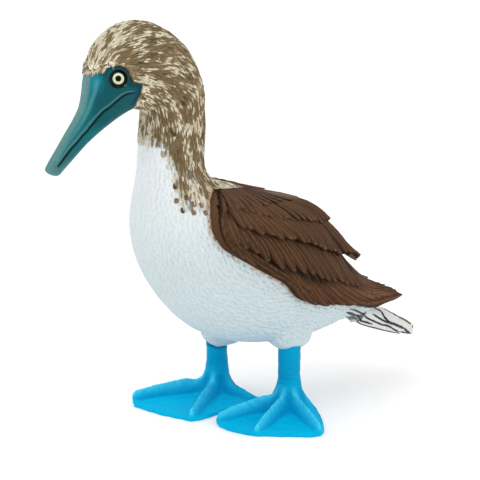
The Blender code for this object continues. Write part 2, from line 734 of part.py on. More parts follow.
def wing_vanes(side, sign, layers):
    draw = random.Random(SEEDS[side])
    for tier, row in WING_TIERS.items():
        for i in range(row["count"]):
            share = i / (row["count"] - 1)
            root = blend_spots(row["roots"], share)
            tip = blend_spots(row["tips"], share)
            root[0] += draw.uniform(-ROOT_SPREAD, ROOT_SPREAD)
            tip[0] += draw.uniform(-TIP_SPREAD, TIP_SPREAD)
            tip[1] += draw.uniform(-TIP_TURN_SPREAD, TIP_TURN_SPREAD)
            first, last = row["widths"]
            width = (first + (last - first) * share) * draw.uniform(1 - WIDTH_SPREAD, 1 + WIDTH_SPREAD)
            lift = (lambda t: blend_table(LOBE_LIFT, t)) if row["on_lobe"] else (lambda t: 0.0)
            vane(f"{tier}_{side}_{i}", WING_FORM, lift, root, tip, width, sign, layers)


def far_side_room(side, sign, cutters):
    """The space past the middle of the figure, which each wing keeps out of."""
    bm = bmesh.new()
    bmesh.ops.create_cube(bm, size=1.0)
    bmesh.ops.scale(bm, vec=(CUT_WIDTH, 2 * FIGURE_REACH, 2 * FIGURE_REACH), verts=bm.verts)
    near_face = GAP / 2 + MIDDLE_SLACK
    bmesh.ops.translate(bm, vec=((near_face - CUT_WIDTH / 2) * sign, 0.0, 0.0), verts=bm.verts)
    return as_cutter(finish_mesh(f"past_middle_{side}", bm, cutters))


def make_wing(side, sign, parts, cutters):
    wing = plate(f"wing_{side}", WING_TOP_EDGE, WING_LOW_EDGE, lambda t: 0.0,
                 lambda t: -blend_table(WING_THICKNESS, t), sign, parts)
    layers = new_collection(f"wing_layers_{side}")
    plate(f"lobe_{side}", LOBE_TOP_EDGE, LOBE_LOW_EDGE, lambda t: blend_table(LOBE_LIFT, t),
          lambda t: blend_table(LOBE_UNDERSIDE, t), sign, layers)
    wing_vanes(side, sign, layers)
    join_all(wing, layers)
    cut(wing, bpy.data.objects["body_room"])
    cut(wing, bpy.data.objects["mantle_room"])
    cut(wing, far_side_room(side, sign, cutters))
    keep_largest(wing)
    return wing


def make_tail(parts):
    tail = loft("tail", TAIL_STATIONS, parts, bulges=(0.5, 0.5), sides=TAIL_SIDES)
    feathers = new_collection("tail_feathers")
    draw = random.Random(SEEDS["tail"])
    for angle, root, tip in TAIL_FEATHERS:
        for sign in (1, -1) if angle else (1,):
            width = TAIL_FEATHER_WIDTH * draw.uniform(1 - WIDTH_SPREAD, 1 + WIDTH_SPREAD)
            start = root + draw.uniform(-ROOT_SPREAD, ROOT_SPREAD)
            end = tip + draw.uniform(-TIP_SPREAD, TIP_SPREAD)
            turn = draw.uniform(-TIP_TURN_SPREAD, TIP_TURN_SPREAD)
            vane(f"tail_feather_{angle}_{sign}", TAIL_STATIONS, lambda t: 0.0,
                 (start, angle + turn), (end, angle * TAIL_GATHER - turn), width, sign, feathers)
    join_all(tail, feathers)
    cut(tail, bpy.data.objects["body_room"])
    keep_largest(tail)
    return tail


def dress(objects):
    finishes = {
        "plumage_brown": make_material("plumage_brown", 0.6),
        "plumage_white": make_material("plumage_white", 0.6),
        "wing_brown": make_material("wing_brown", 0.5),
        "bill_teal": make_material("bill_teal", 0.4),
        "foot_blue": make_material("foot_blue", 0.4),
        "eye_yellow": make_material("eye_yellow", 0.2),
    }
    wear = {
        "head": "plumage_brown", "neck": "plumage_brown", "torso": "plumage_white",
        "tail": "plumage_white", "wing": "wing_brown", "bill": "bill_teal",
        "leg": "foot_blue", "foot": "foot_blue", "eye": "eye_yellow",
    }
    for obj in objects:
        obj.data.materials.clear()
        obj.data.materials.append(finishes[wear[obj.name.split("_")[0]]])
        obj.data.shade_smooth()
        obj.data.set_sharp_from_angle(angle=math.radians(SMOOTH_ANGLE))


def main():
    clear_scene()
    parts = new_collection("booby_figure")
    cutters = new_collection("cutters")
    as_cutter(loft("body_room", BODY_STATIONS, cutters, lift=GAP + 0.05))
    as_cutter(loft("mantle_room", MANTLE_STATIONS, cutters, lift=GAP, bulges=MANTLE_BULGES,
                   sides=MANTLE_SIDES))
    bill_upper = part_the_skin(parts, cutters)
    make_eyes(bill_upper, parts, cutters)
    for side, foot in FEET.items():
        make_foot(side, foot, parts)
        make_leg(side, foot, parts, cutters)
    make_wing("left", 1, parts, cutters)
    make_wing("right", -1, parts, cutters)
    make_tail(parts)
    dress(parts.objects)


main()
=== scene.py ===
import math

import bmesh
import bpy
import numpy as np
from mathutils import Matrix, Vector, noise
from mathutils.bvhtree import BVHTree


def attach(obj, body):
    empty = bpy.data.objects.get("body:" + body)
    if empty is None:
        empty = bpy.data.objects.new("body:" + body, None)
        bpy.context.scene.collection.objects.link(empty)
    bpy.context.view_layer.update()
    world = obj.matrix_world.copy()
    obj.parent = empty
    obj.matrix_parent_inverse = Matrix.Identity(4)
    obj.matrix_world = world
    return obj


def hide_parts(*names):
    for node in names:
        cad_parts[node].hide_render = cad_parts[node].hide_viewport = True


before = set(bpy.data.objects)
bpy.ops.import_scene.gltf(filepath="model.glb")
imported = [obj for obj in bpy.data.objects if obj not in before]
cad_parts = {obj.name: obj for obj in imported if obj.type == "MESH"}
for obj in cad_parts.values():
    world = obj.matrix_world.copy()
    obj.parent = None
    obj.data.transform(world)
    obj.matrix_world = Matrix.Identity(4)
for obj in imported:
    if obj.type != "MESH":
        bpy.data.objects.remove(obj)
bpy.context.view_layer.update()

# The painted figure faces -Y. Measures below are millimetres on the maker's drawing, whose
# origin lies between the feet, so "onFigure" moves them to the frame and makes them metres.
mm = 0.001
middle = np.array((4.69, -2.59, 0.0))
print("frame loaded:", len(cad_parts), "solids")


def onFigure(points):
    return (np.asarray(points, dtype=float) - middle) * mm


def drawn(points):
    return np.asarray(points, dtype=float) / mm + middle


class Wire:
    # one socket of a shader tree; arithmetic on it adds Math nodes

    def __init__(self, tree, socket):
        self.tree = tree
        self.socket = socket

    def node(self, kind, settings=None, values=None, out=0):
        made = self.tree.nodes.new(kind)
        for key, value in (settings or {}).items():
            if key == "stops":
                ramp = made.color_ramp
                while len(ramp.elements) < len(value):
                    ramp.elements.new(0.5)
                for element, (place, colour) in zip(ramp.elements, value):
                    element.position = place
                    element.color = (*colour, 1.0)
            else:
                setattr(made, key, value)
        for key, value in (values or {}).items():
            if isinstance(value, Wire):
                self.tree.links.new(value.socket, made.inputs[key])
            else:
                made.inputs[key].default_value = value
        return Wire(self.tree, made.outputs[out])

    def maths(self, operation, *values):
        return self.node("ShaderNodeMath", {"operation": operation}, dict(enumerate(values)))

    def vector(self, operation, *values, out=0):
        return self.node("ShaderNodeVectorMath", {"operation": operation},
                         dict(enumerate(values)), out)

    def __add__(self, other): return self.maths("ADD", self, other)
    def __radd__(self, other): return self.maths("ADD", other, self)
    def __sub__(self, other): return self.maths("SUBTRACT", self, other)
    def __rsub__(self, other): return self.maths("SUBTRACT", other, self)
    def __mul__(self, other): return self.maths("MULTIPLY", self, other)
    def __rmul__(self, other): return self.maths("MULTIPLY", other, self)
    def __abs__(self): return self.maths("ABSOLUTE", self)

    def most(self, other):
        return self.maths("MAXIMUM", self, other)

    def rise(self, low, high):
        # 0 at low, 1 at high and smooth between; low may be the larger number
        return self.node("ShaderNodeMapRange", {"interpolation_type": "SMOOTHSTEP"},
                         {0: self, 1: low, 2: high, 3: 0.0, 4: 1.0})

    def mix(self, first, second):
        # colour that goes from first to second as this value goes from 0 to 1
        first, second = (c if isinstance(c, Wire) else (*c, 1.0) for c in (first, second))
        return self.node("ShaderNodeMix", {"data_type": "RGBA"}, {0: self, 6: first, 7: second}, 2)

    def noise(self, scale, detail=2.0):
        return self.node("ShaderNodeTexNoise", {}, {"Vector": self, "Scale": scale, "Detail": detail})

    def parts(self):
        split = self.node("ShaderNodeSeparateXYZ", {}, {0: self}).socket.node
        return [Wire(self.tree, split.outputs[k]) for k in range(3)]

    def attribute(self, name, out=2):
        return self.node("ShaderNodeAttribute", {"attribute_name": name}, {}, out)


def paint(name, build, **finish):
    # a Principled finish; build(start, place) returns what varies over the surface
    material = bpy.data.materials.new(name)
    material.use_nodes = True
    tree = material.node_tree
    shader = tree.nodes["Principled BSDF"]
    for key, value in finish.items():
        shader.inputs[key.replace("_", " ")].default_value = value
    start = Wire(tree, None)
    coords = start.node("ShaderNodeTexCoord", {}, {}, 3)
    place = coords.vector("MULTIPLY_ADD", coords, (1000.0,) * 3, tuple(middle))
    for socket, wire in build(start, place).items():
        if socket == "Height":
            height, distance = wire
            wire = start.node("ShaderNodeBump", {}, {"Height": height, "Distance": distance * mm})
            socket = "Normal"
        tree.links.new(wire.socket, shader.inputs[socket])
    return material


def blendTable(table, t):
    return np.interp(t, [row[0] for row in table], [row[1] for row in table])


def stationsAt(stations, t):
    # rows of the smooth curve through all stations, for an array of places t
    rows = np.array(stations, dtype=float)
    last = len(rows) - 1
    t = np.asarray(t, dtype=float)
    first = np.clip(np.floor(t).astype(int), 0, last - 1)
    f = (t - first)[:, None]
    a, b, c, d = (rows[np.clip(first + k, 0, last)] for k in (-1, 0, 1, 2))
    return 0.5 * (2 * b + (c - a) * f + (2 * a - 5 * b + 4 * c - d) * f ** 2
                  + (3 * b - a - 3 * c + d) * f ** 3)


def ovalPoints(rows, angle, lift):
    # points on station ovals: 0 degrees is the back, 90 the side and 180 the belly
    belly, back = rows[:, 0:2], rows[:, 2:4]
    half = (back - belly) / 2
    reach = np.linalg.norm(half, axis=1)
    turn = np.radians(angle)
    yz = (belly + back) / 2 + half * ((1 + lift / reach) * np.cos(turn))[:, None]
    return np.column_stack(((rows[:, 4] + lift) * np.sin(turn), yz))


def tidyMesh(mesh):
    bm = bmesh.new()
    bm.from_mesh(mesh)
    bmesh.ops.recalc_face_normals(bm, faces=bm.faces)
    bm.to_mesh(mesh)
    bm.free()


def addPiece(name, mesh, material, nodes=()):
    mesh.name = name
    piece = bpy.data.objects.new(name, mesh)
    bpy.context.scene.collection.objects.link(piece)
    mesh.materials.clear()
    mesh.materials.append(material)
    mesh.shade_smooth()
    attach(piece, "root")
    if nodes:
        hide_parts(*nodes)
    print("piece:", name, len(mesh.polygons), "faces")
    return piece


def coords(mesh):
    flat = np.empty(len(mesh.vertices) * 3)
    mesh.vertices.foreach_get("co", flat)
    return flat.reshape(-1, 3)


def setCoords(mesh, points):
    mesh.vertices.foreach_set("co", np.asarray(points).ravel())
    mesh.update()


def normals(mesh):
    flat = np.empty(len(mesh.vertices) * 3)
    mesh.vertex_normals.foreach_get("vector", flat)
    return flat.reshape(-1, 3)


def keepNumbers(mesh, name, values):
    mesh.attributes.new(name, "FLOAT", "POINT").data.foreach_set("value", np.asarray(values, float))


def keepPlaces(mesh, name, values):
    mesh.attributes.new(name, "FLOAT_VECTOR", "POINT").data.foreach_set(
        "vector", np.asarray(values, float).ravel())


def treeOf(meshes):
    bm = bmesh.new()
    for mesh in meshes:
        bm.from_mesh(mesh)
    tree = BVHTree.FromBMesh(bm)
    bm.free()
    return tree


def distances(tree, points):
    # distance in mm from points on the drawing to the nearest face of a tree
    return np.array([tree.find_nearest(Vector(p))[3] for p in onFigure(points)]) / mm


def meshFrom(bm, name):
    mesh = bpy.data.meshes.new(name)
    bm.to_mesh(mesh)
    bm.free()
    return mesh


def smoothOver(bm, verts, rounds):
    for _ in range(rounds):
        bmesh.ops.smooth_vert(bm, verts=verts, factor=0.5, use_axis_x=True, use_axis_y=True,
                              use_axis_z=True)


def dropInnerShells(bm):
    # keeps what hangs together with the highest vertex, and drops shells closed inside it
    todo = [max(bm.verts, key=lambda v: v.co.z)]
    seen = set(todo)
    while todo:
        for edge in todo.pop().link_edges:
            for v in edge.verts:
                if v not in seen:
                    seen.add(v)
                    todo.append(v)
    bmesh.ops.delete(bm, geom=[v for v in bm.verts if v not in seen], context="VERTS")


def skinOver(nodes, grow, voxel, sink, rounds):
    # one mesh over several solids: grown to close their joints, remeshed, sunk and smoothed
    joined = bmesh.new()
    for name in nodes:
        one = bmesh.new()
        one.from_mesh(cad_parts[name].data)
        bmesh.ops.remove_doubles(one, verts=one.verts, dist=0.002 * mm)
        one.normal_update()
        for v, move in [(v, v.normal * grow * mm * min(v.calc_shell_factor(), 2.0))
                        for v in one.verts]:
            v.co += move
        copy = meshFrom(one, "copy")
        joined.from_mesh(copy)
        bpy.data.meshes.remove(copy)
    mesh = meshFrom(joined, "skin")
    holder = bpy.data.objects.new("holder", mesh)
    bpy.context.scene.collection.objects.link(holder)
    remesh = holder.modifiers.new("remesh", "REMESH")
    remesh.mode = "VOXEL"
    remesh.voxel_size = voxel * mm
    remesh.use_smooth_shade = True
    skin = bpy.data.meshes.new_from_object(
        holder.evaluated_get(bpy.context.evaluated_depsgraph_get()))
    bpy.data.objects.remove(holder, do_unlink=True)
    bpy.data.meshes.remove(mesh)
    bm = bmesh.new()
    bm.from_mesh(skin)
    dropInnerShells(bm)
    smoothOver(bm, bm.verts, rounds)
    bm.to_mesh(skin)
    bm.free()
    setCoords(skin, coords(skin) - normals(skin) * (grow + sink) * mm)
    return skin


def pathDistance(points, path):
    # distance in mm from each point to a path drawn in mm, and the share of the way along it
    best = np.full(len(points), 1e9)
    way = np.zeros(len(points))
    path = np.array(path, dtype=float)
    steps = np.linalg.norm(np.diff(path, axis=0), axis=1)
    gone = np.concatenate(((0.0,), np.cumsum(steps))) / steps.sum()
    for k, (a, b) in enumerate(zip(path, path[1:])):
        along = np.clip(((points - a) @ (b - a)) / max((b - a) @ (b - a), 1e-9), 0, 1)
        away = np.linalg.norm(points - a - along[:, None] * (b - a), axis=1)
        nearer = away < best
        best[nearer] = away[nearer]
        way[nearer] = (gone[k] + along * (gone[k + 1] - gone[k]))[nearer]
    return best, way


def onSurface(path, tree):
    # the path in small steps, each moved to the nearest place on a tree's faces
    path = np.array(path)
    gone = np.concatenate(((0.0,), np.cumsum(np.linalg.norm(np.diff(path, axis=0), axis=1))))
    where = np.linspace(0, gone[-1], int(gone[-1] / 0.4) + 2)
    fine = np.column_stack([np.interp(where, gone, path[:, k]) for k in range(3)])
    return drawn([tree.find_nearest(Vector(p))[0] for p in onFigure(fine)])


def bothSides(path):
    return [path, [(-x, y, z) for x, y, z in path]]


def carve(mesh, path, width, depth, fade):
    # sinks a soft groove along a path, or raises a ridge where depth is below 0
    away, way = pathDistance(drawn(coords(mesh)), path)
    share = np.exp(-(away / width) ** 2) * np.clip(np.minimum(way, 1 - way) / fade, 0, 1)
    setCoords(mesh, coords(mesh) - normals(mesh) * (share * depth * mm)[:, None])


def flakeShape(across, along, crowding=1.0):
    # a thin closed sheet: x runs -1 to 1 across, y 0 to 1 from root to tip, z 0 below, 1 on top
    bm = bmesh.new()
    bmesh.ops.create_grid(bm, x_segments=across, y_segments=along, size=1.0)
    bmesh.ops.scale(bm, vec=(1.0, 0.5, 1.0), verts=bm.verts)
    bmesh.ops.translate(bm, vec=(0.0, 0.5, 0.0), verts=bm.verts)
    bmesh.ops.solidify(bm, geom=bm.faces, thickness=1.0)
    bmesh.ops.recalc_face_normals(bm, faces=bm.faces)
    low = min(v.co.z for v in bm.verts)
    for v in bm.verts:
        v.co.z -= low
        v.co.y = 1 - (1 - v.co.y) ** crowding
    return meshFrom(bm, "flake")


def manyOf(shapes):
    bm = bmesh.new()
    for shape in shapes:
        bm.from_mesh(shape)
    return meshFrom(bm, "many")


def bakePatches(mesh, spots, local, reach=0.0015):
    # every feather is a small patch at its root's place on the unrolled figure
    layer = mesh.uv_layers.new(name="OFBake")
    corner = np.empty(len(mesh.loops), dtype=int)
    mesh.loops.foreach_get("vertex_index", corner)
    uv = np.clip(spots + local * reach, 0.0005, 0.9995)[corner]
    layer.data.foreach_set("uv", uv.ravel())


# Skin under the plumage. It runs on under the bill, tail and legs so that no gap opens there.
skinLooks = {"grow": 0.22, "voxel": 0.4, "sink": 0.26, "rounds": 8}
skinDip = {"near": 0.42, "edge": 0.1, "depth": 0.75}
thighLooks = {"top": 18.5, "fade": 2.0, "reach": 1.0}
skinUnder = ("bill_upper", "bill_lower", "tail", "leg_left", "leg_right")
skinMesh = skinOver(("torso", "neck", "head") + skinUnder, **skinLooks)
hidden = treeOf([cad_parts[name].data for name in skinUnder + ("eye_left", "eye_right")])
covered = distances(hidden, drawn(coords(skinMesh)))
deeper = np.clip((skinDip["near"] - covered) / skinDip["edge"], 0, 1) * skinDip["depth"]
# the smoothing rounds the thighs off, so their ends are laid back just inside the solid
torsoTree = treeOf([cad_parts["torso"].data])
points = drawn(coords(skinMesh))
for k in np.nonzero(points[:, 2] < thighLooks["top"])[0]:
    spot, facing, _, away = torsoTree.find_nearest(Vector(onFigure(points[k])))
    if away < thighLooks["reach"] * mm:
        share = min((thighLooks["top"] - points[k, 2]) / thighLooks["fade"], 1.0)
        target = drawn(spot) - np.array(facing) * skinLooks["sink"]
        points[k] += (target - points[k]) * share
setCoords(skinMesh, onFigure(points))
setCoords(skinMesh, coords(skinMesh) - normals(skinMesh) * (deeper * mm)[:, None])

# Where small feathers point: a place on the figure and a direction, mirrored to both sides
lieGuides = [
    ((0, -39, 83), (0, 0.8, 0.6)), ((0, -32, 89), (0, 1, 0.1)), ((0, -25, 89), (0, 1, -0.1)),
    ((0, -17, 83), (0, 0.5, -0.9)), ((0, -14, 75), (0, 0, -1)), ((0, -13.5, 66), (0, 0, -1)),
    ((0, -13, 58), (0, 0.2, -1)), ((0, -8, 53), (0, 0.8, -0.6)), ((5, -3, 50), (0, 1, -0.4)),
    ((8, -32, 84), (0, 1, 0.1)), ((9, -28, 80), (0, 1, -0.2)), ((8.7, -28, 74), (0, 0.7, -0.7)),
    ((8.5, -22, 78), (0, 0.8, -0.6)), ((7, -18, 72), (0, 0.1, -1)), ((8, -22, 66), (0, 0, -1)),
    ((8, -21, 58), (0, 0, -1)), ((0, -31, 70), (0, 0.3, -1)), ((5, -31, 71), (0, 0.3, -1)),
    ((0, -28, 62), (0, 0, -1)), ((0, -29, 54), (0, -0.1, -1)), ((0, -29.6, 45), (0, 0, -1)),
    ((12, -24, 42), (0.1, 0.2, -1)), ((0, -28, 36), (0, 0.2, -1)), ((0, -22, 26), (0, 0.7, -0.7)),
    ((0, -12, 18), (0, 1, -0.35)), ((0, 0, 15), (0, 1, -0.1)), ((0, 18, 16.5), (0, 1, 0)),
    ((13, -15, 28), (0, 0.9, -0.5)), ((12, 0, 24), (0, 1, -0.2)), ((8, 5, 14), (0, 0.3, -1)),
    ((0, 10, 28), (0, 1, -0.4)),
]
guidePlaces = np.array([p for p, _ in lieGuides] + [(-p[0], p[1], p[2]) for p, _ in lieGuides])
guideWays = np.array([d for _, d in lieGuides] + [(-d[0], d[1], d[2]) for _, d in lieGuides])

# Middle line of the figure from the bill to the tail, on which the plumage is unrolled
spine = np.array([
    (-44, 62), (-38, 69), (-31, 76), (-24, 79), (-20.5, 73), (-20.5, 64), (-19.5, 55), (-15, 45),
    (-8, 35), (0, 27), (10, 22), (20, 20), (32, 17), (44, 11)], dtype=float)


def lieAt(points, facing):
    away = ((points[:, None, :] - guidePlaces[None]) ** 2).sum(axis=2)
    weight = 1 / (away + 3.0) ** 2
    way = (weight[:, :, None] * guideWays[None]).sum(axis=1)
    way -= facing * (way * facing).sum(axis=1)[:, None]
    return way / np.linalg.norm(way, axis=1)[:, None]


def unrolled(points):
    # place on the unrolled plumage: round the middle line, and along it
    _, along = pathDistance(np.column_stack((np.zeros(len(points)), points[:, 1:])),
                            np.column_stack((np.zeros(len(spine)), spine)))
    gone = np.concatenate(((0.0,), np.cumsum(np.linalg.norm(np.diff(spine, axis=0), axis=1))))
    where = along * gone[-1]
    before, centre, ahead = (np.column_stack([np.interp(where + step, gone, spine[:, k])
                                              for k in range(2)]) for step in (-1, 0, 1))
    way = ahead - before
    way /= np.linalg.norm(way, axis=1)[:, None]
    upward = (points[:, 1] - centre[:, 0]) * -way[:, 1] + (points[:, 2] - centre[:, 1]) * way[:, 0]
    turn = np.arctan2(points[:, 0], upward) / (2 * math.pi) + 0.5
    return np.column_stack((0.02 + 0.96 * turn, 0.02 + 0.96 * along))


def scatterRoots(mesh, gap, seed, wanted, tries):
    # seeded places on a mesh that keep a distance from each other, with their outward normals
    draw = np.random.default_rng(seed)
    mesh.calc_loop_triangles()
    corners = np.empty(len(mesh.loop_triangles) * 3, dtype=int)
    mesh.loop_triangles.foreach_get("vertices", corners)
    a, b, c = (coords(mesh)[corners.reshape(-1, 3)[:, k]] for k in range(3))
    faceway = np.cross(b - a, c - a)
    area = np.linalg.norm(faceway, axis=1)
    pick = draw.choice(len(area), size=tries, p=area / area.sum())
    u, v = draw.random(tries), draw.random(tries)
    over = u + v > 1
    u[over], v[over] = 1 - u[over], 1 - v[over]
    spots = drawn(a[pick] + (b - a)[pick] * u[:, None] + (c - a)[pick] * v[:, None])
    facing = faceway[pick] / area[pick][:, None]
    good = wanted(spots)
    spots, facing = spots[good], facing[good]
    cells, kept = {}, []
    for i, spot in enumerate(spots):
        key = tuple((spot // gap).astype(int))
        near = [j for dx in (-1, 0, 1) for dy in (-1, 0, 1) for dz in (-1, 0, 1)
                for j in cells.get((key[0] + dx, key[1] + dy, key[2] + dz), ())]
        if near and ((spots[near] - spot) ** 2).sum(axis=1).min() < gap ** 2:
            continue
        cells.setdefault(key, []).append(i)
        kept.append(i)
    kept = np.array(kept)
    kept = kept[isOpen(spots[kept], facing[kept])]
    return spots[kept], facing[kept], draw


# Plumage paint: brown streaked with cream on head and neck, bluish white below the bib's edge, with painted
# shade low on the body and at the feathers' roots
plumageLooks = {
    "brown": (0.235, 0.168, 0.086), "dark": (0.085, 0.054, 0.025), "tan": (0.42, 0.335, 0.18),
    "cream": (0.86, 0.80, 0.62), "white": (0.84, 0.89, 0.90), "shade": (0.60, 0.70, 0.72),
    "halo": (0.70, 0.42, 0.22),
    "bibTop": 64.4, "bibSide": 5.6, "bibSlope": 0.17, "bibCurve": 0.013,
    "brownEnd": 52.5, "speckEnd": 48.5, "mantle": -19.0,
}


def brownShare(place, stray, tint):
    # 1 on the brown head and neck, 0 on the white bib and body, with single specks between
    looks = plumageLooks
    x, y, z = place.parts()
    drop = looks["bibTop"] - z
    bib = looks["bibSide"] + drop * looks["bibSlope"] + drop * drop * looks["bibCurve"]
    above = (z + stray).rise(looks["bibTop"] - 0.5, looks["bibTop"] + 0.5)
    beside = (abs(x) - bib + stray).rise(-0.5, 0.5)
    behind = (y + stray).rise(looks["mantle"] - 2.0, looks["mantle"])
    solid = (z + stray * 1.5).rise(looks["brownEnd"] - 1.0, looks["brownEnd"] + 1.0)
    specks = z.rise(looks["speckEnd"] - 0.3, looks["speckEnd"] + 0.3) * tint.rise(0.25, 0.21)
    dots = tint.rise(-0.1, -0.2)
    return above.most(beside.most(behind) * solid.most(specks)).most(dots)


def plumage(start, place, tint, along, across, stray):
    looks = plumageLooks
    x, y, z = place.parts()
    brown = brownShare(place, stray, tint)
    patches = place.noise(0.42, 2.0).rise(0.38, 0.64)
    forehead = (z * 0.8 - y).rise(99.5, 105.5)
    throat = y.rise(-25.0, -28.0) * z.rise(74.0, 70.0)
    mantle = z.rise(58.0, 54.0)
    pale = tint * 0.56 + patches * 0.38 + forehead * 0.24 + throat * 0.32 + mantle * 0.16 - 0.02
    feather = start.node("ShaderNodeValToRGB", {"stops": [
        (0.0, looks["dark"]), (0.18, looks["brown"]), (0.46, looks["brown"]),
        (0.56, looks["tan"]), (0.68, looks["cream"])]}, {0: pale})
    rim = abs(across).rise(0.55, 1.0) * 0.6
    feather = rim.mix(feather, looks["brown"])
    # painted shade: each feather is darker toward its root, where the one above overlaps it
    feather = along.rise(0.0, 0.4).mix(looks["dark"], feather)
    # painted shade: the white darkens toward the belly, and a little at each feather's root
    low = z.rise(60.0, 34.0)
    snow = (low * 0.9 + tint * 0.1).mix(looks["white"], looks["shade"])
    snow = (along.rise(0.0, 0.4) * 0.15 + 0.85).mix(looks["shade"], snow)
    return brown.mix(snow, feather)


def skinPaint(start, place):
    tint = place.noise(1.3, 3.0)
    along = place.noise(0.9, 2.0)
    colour = plumage(start, place, tint, along, along - 0.5, (tint - 0.5) * 2.0)
    return {"Base Color": colour, "Height": (place.noise(1.6, 3.0), 0.12)}


def coatPaint(start, place, barbDepth):
    where = start.attribute("root", 1).vector(
        "MULTIPLY_ADD", start.attribute("root", 1), (1000.0,) * 3, tuple(middle))
    tint, along, across, halo = (
        start.attribute(name) for name in ("tint", "along", "across", "halo"))
    colour = plumage(start, where, tint, along, across, (tint - 0.5) * 1.6)
    colour = (halo.rise(1.0, 0.3) * 0.75).mix(colour, plumageLooks["halo"])
    wave = across * 11.0 + along * 7.0
    barbs = wave.maths("SINE", wave)
    return {"Base Color": colour, "Height": (barbs, barbDepth)}


skinMaterial = paint("paintedPlumageSkin", skinPaint, Roughness=0.6, Specular_IOR_Level=0.3)
streakedPaint = paint("paintedStreaks", lambda start, place: coatPaint(start, place, 0.02),
                      Roughness=0.6, Specular_IOR_Level=0.15)
whitePaint = paint("paintedWhite", lambda start, place: coatPaint(start, place, 0.006),
                   Roughness=0.6, Specular_IOR_Level=0.15)
addPiece("plumageSkin", skinMesh, skinMaterial, ("torso", "neck", "head"))


# Folded wings: a form just outside the body, two thin plates on it and tiers of feathers
wingForm = [
    (-28.9, 54.0, -10.6, 54.5, 11.8), (-29.9, 47.5, -4.2, 52.0, 14.4),
    (-29.6, 39.8, 2.0, 49.5, 15.8), (-25.9, 31.7, 9.5, 47.0, 16.0),
    (-20.1, 23.4, 15.7, 43.4, 15.7), (-12.2, 17.4, 19.9, 38.6, 14.9),
    (-2.2, 14.7, 22.8, 33.3, 13.4), (8.6, 13.7, 26.3, 28.5, 11.6),
    (18.0, 16.0, 30.3, 24.8, 9.8), (26.5, 18.0, 34.3, 23.9, 7.8), (34.4, 19.4, 37.9, 22.6, 5.9),
]
wingLooks = {
    "topEdge": [(0.3, 55), (0.6, 33), (1.0, 16), (1.6, 6), (2.3, 1), (4.9, 1), (5.2, 40),
                (5.6, 42), (6.3, 37), (7.0, 28), (7.6, 15), (8.3, 9), (9.0, 26), (10.0, 48)],
    "lowEdge": [(0.3, 68), (0.6, 86), (1.0, 96), (1.6, 103), (2.3, 104), (3.1, 98), (4.3, 89),
                (5.4, 87), (5.7, 86), (6.5, 77), (7.3, 70), (7.75, 69), (8.4, 73), (9.0, 84),
                (9.6, 90), (10.0, 80)],
    "lobeTop": [(0.9, 24), (1.6, 7), (2.5, 1), (5.0, 1), (6.5, 8)],
    "lobeLow": [(0.9, 60), (1.6, 70), (2.5, 71), (3.25, 60), (4.15, 51), (5.0, 40), (5.8, 30),
                (6.3, 24), (6.5, 18)],
    "lobeLift": [(0.9, 0.1), (2.2, 0.8), (3.3, 1.3), (4.4, 0.3), (5.4, 0.8), (6.5, 2.2)],
    "lobeUnder": [(0.9, -0.5), (4.4, -0.5), (5.4, 0.0), (6.5, 1.3)],
    "thickness": [(7.0, 1.7), (10.0, 1.1)], "coreSink": 0.3,
    # the plates are painted like this place on a feather
    "plateAcross": 0.3, "plateAlong": 0.4, "plateTint": 0.4,
}
# Tiers of feathers: roots and tips run from the front of the wing to its back, as
# (station, angle) on the wing's form
wingTiers = {
    "inner": {
        "count": 7, "widths": (2.6, 2.4), "onLobe": False, "seed": 27, "lift": -0.1,
        "roots": [(5.3, 52), (5.4, 44), (5.5, 36)],
        "tips": [(9.6, 62), (9.2, 44), (8.4, 22)]},
    "flight": {
        "count": 15, "widths": (2.1, 2.8), "onLobe": False, "seed": 21, "lift": 0.0,
        "roots": [(3.3, 82), (4.1, 77), (4.8, 69), (5.0, 58), (5.0, 50), (5.3, 42)],
        "tips": [(5.1, 90), (5.7, 88), (6.4, 79), (7.4, 70), (8.5, 69), (9.6, 76), (10.0, 75)]},
    "lowEdge": {
        "count": 13, "widths": (1.5, 1.9), "onLobe": False, "seed": 25, "lift": -0.15,
        "roots": [(0.32, 62), (0.5, 74), (0.8, 85), (1.25, 93), (1.8, 97), (2.5, 94), (3.3, 87)],
        "tips": [(1.0, 86), (1.5, 95), (2.1, 99), (2.8, 97), (3.5, 93), (4.3, 88), (5.0, 86)]},
    "coverts": {
        "count": 15, "widths": (2.6, 1.9), "onLobe": False, "seed": 22, "lift": 0.0,
        "roots": [(0.9, 83), (1.6, 75), (2.2, 65), (3.0, 57), (3.7, 50), (4.3, 38)],
        "tips": [(2.2, 93), (3.2, 88), (4.3, 78), (5.1, 70), (5.9, 60), (6.8, 50)]},
    "front": {
        "count": 11, "widths": (1.7, 1.7), "onLobe": True, "seed": 26, "lift": -0.1, "lit": 0.5,
        "rootLift": -0.1,
        "roots": [(0.31, 60), (0.36, 52), (0.5, 40), (0.65, 30), (0.95, 19), (1.4, 10)],
        "tips": [(0.95, 75), (1.2, 66), (1.45, 55), (1.7, 44), (2.0, 33), (2.5, 22)]},
    "longShoulder": {
        "count": 19, "widths": (2.5, 1.6), "onLobe": True, "seed": 23, "lift": 0.0, "lit": 0.25,
        "roots": [(0.4, 70), (1.2, 56), (2.0, 49), (2.8, 46), (3.2, 34), (3.8, 14)],
        "tips": [(1.8, 80), (2.75, 70), (3.5, 61), (4.3, 54), (5.1, 43), (6.6, 12)]},
    "shortShoulder": {
        "count": 19, "widths": (2.0, 1.4), "onLobe": True, "seed": 24, "lift": 0.0, "lit": 0.4,
        "roots": [(0.35, 54), (0.8, 42), (1.5, 22), (2.2, 18), (3.0, 5)],
        "tips": [(1.1, 70), (2.1, 56), (2.9, 47), (3.6, 39), (4.4, 14)]},
}
vaneLooks = {
    "rootLift": -0.45, "tipLift": 0.55, "thickness": 0.85, "quill": 0.22, "tilt": 0.32,
    "profile": [(0.0, 0.6), (0.2, 0.84), (0.4, 0.96), (0.65, 1.0), (0.78, 0.93), (0.88, 0.76),
                (0.95, 0.5), (1.0, 0.2)],
    "across": 12, "along": 16,
}
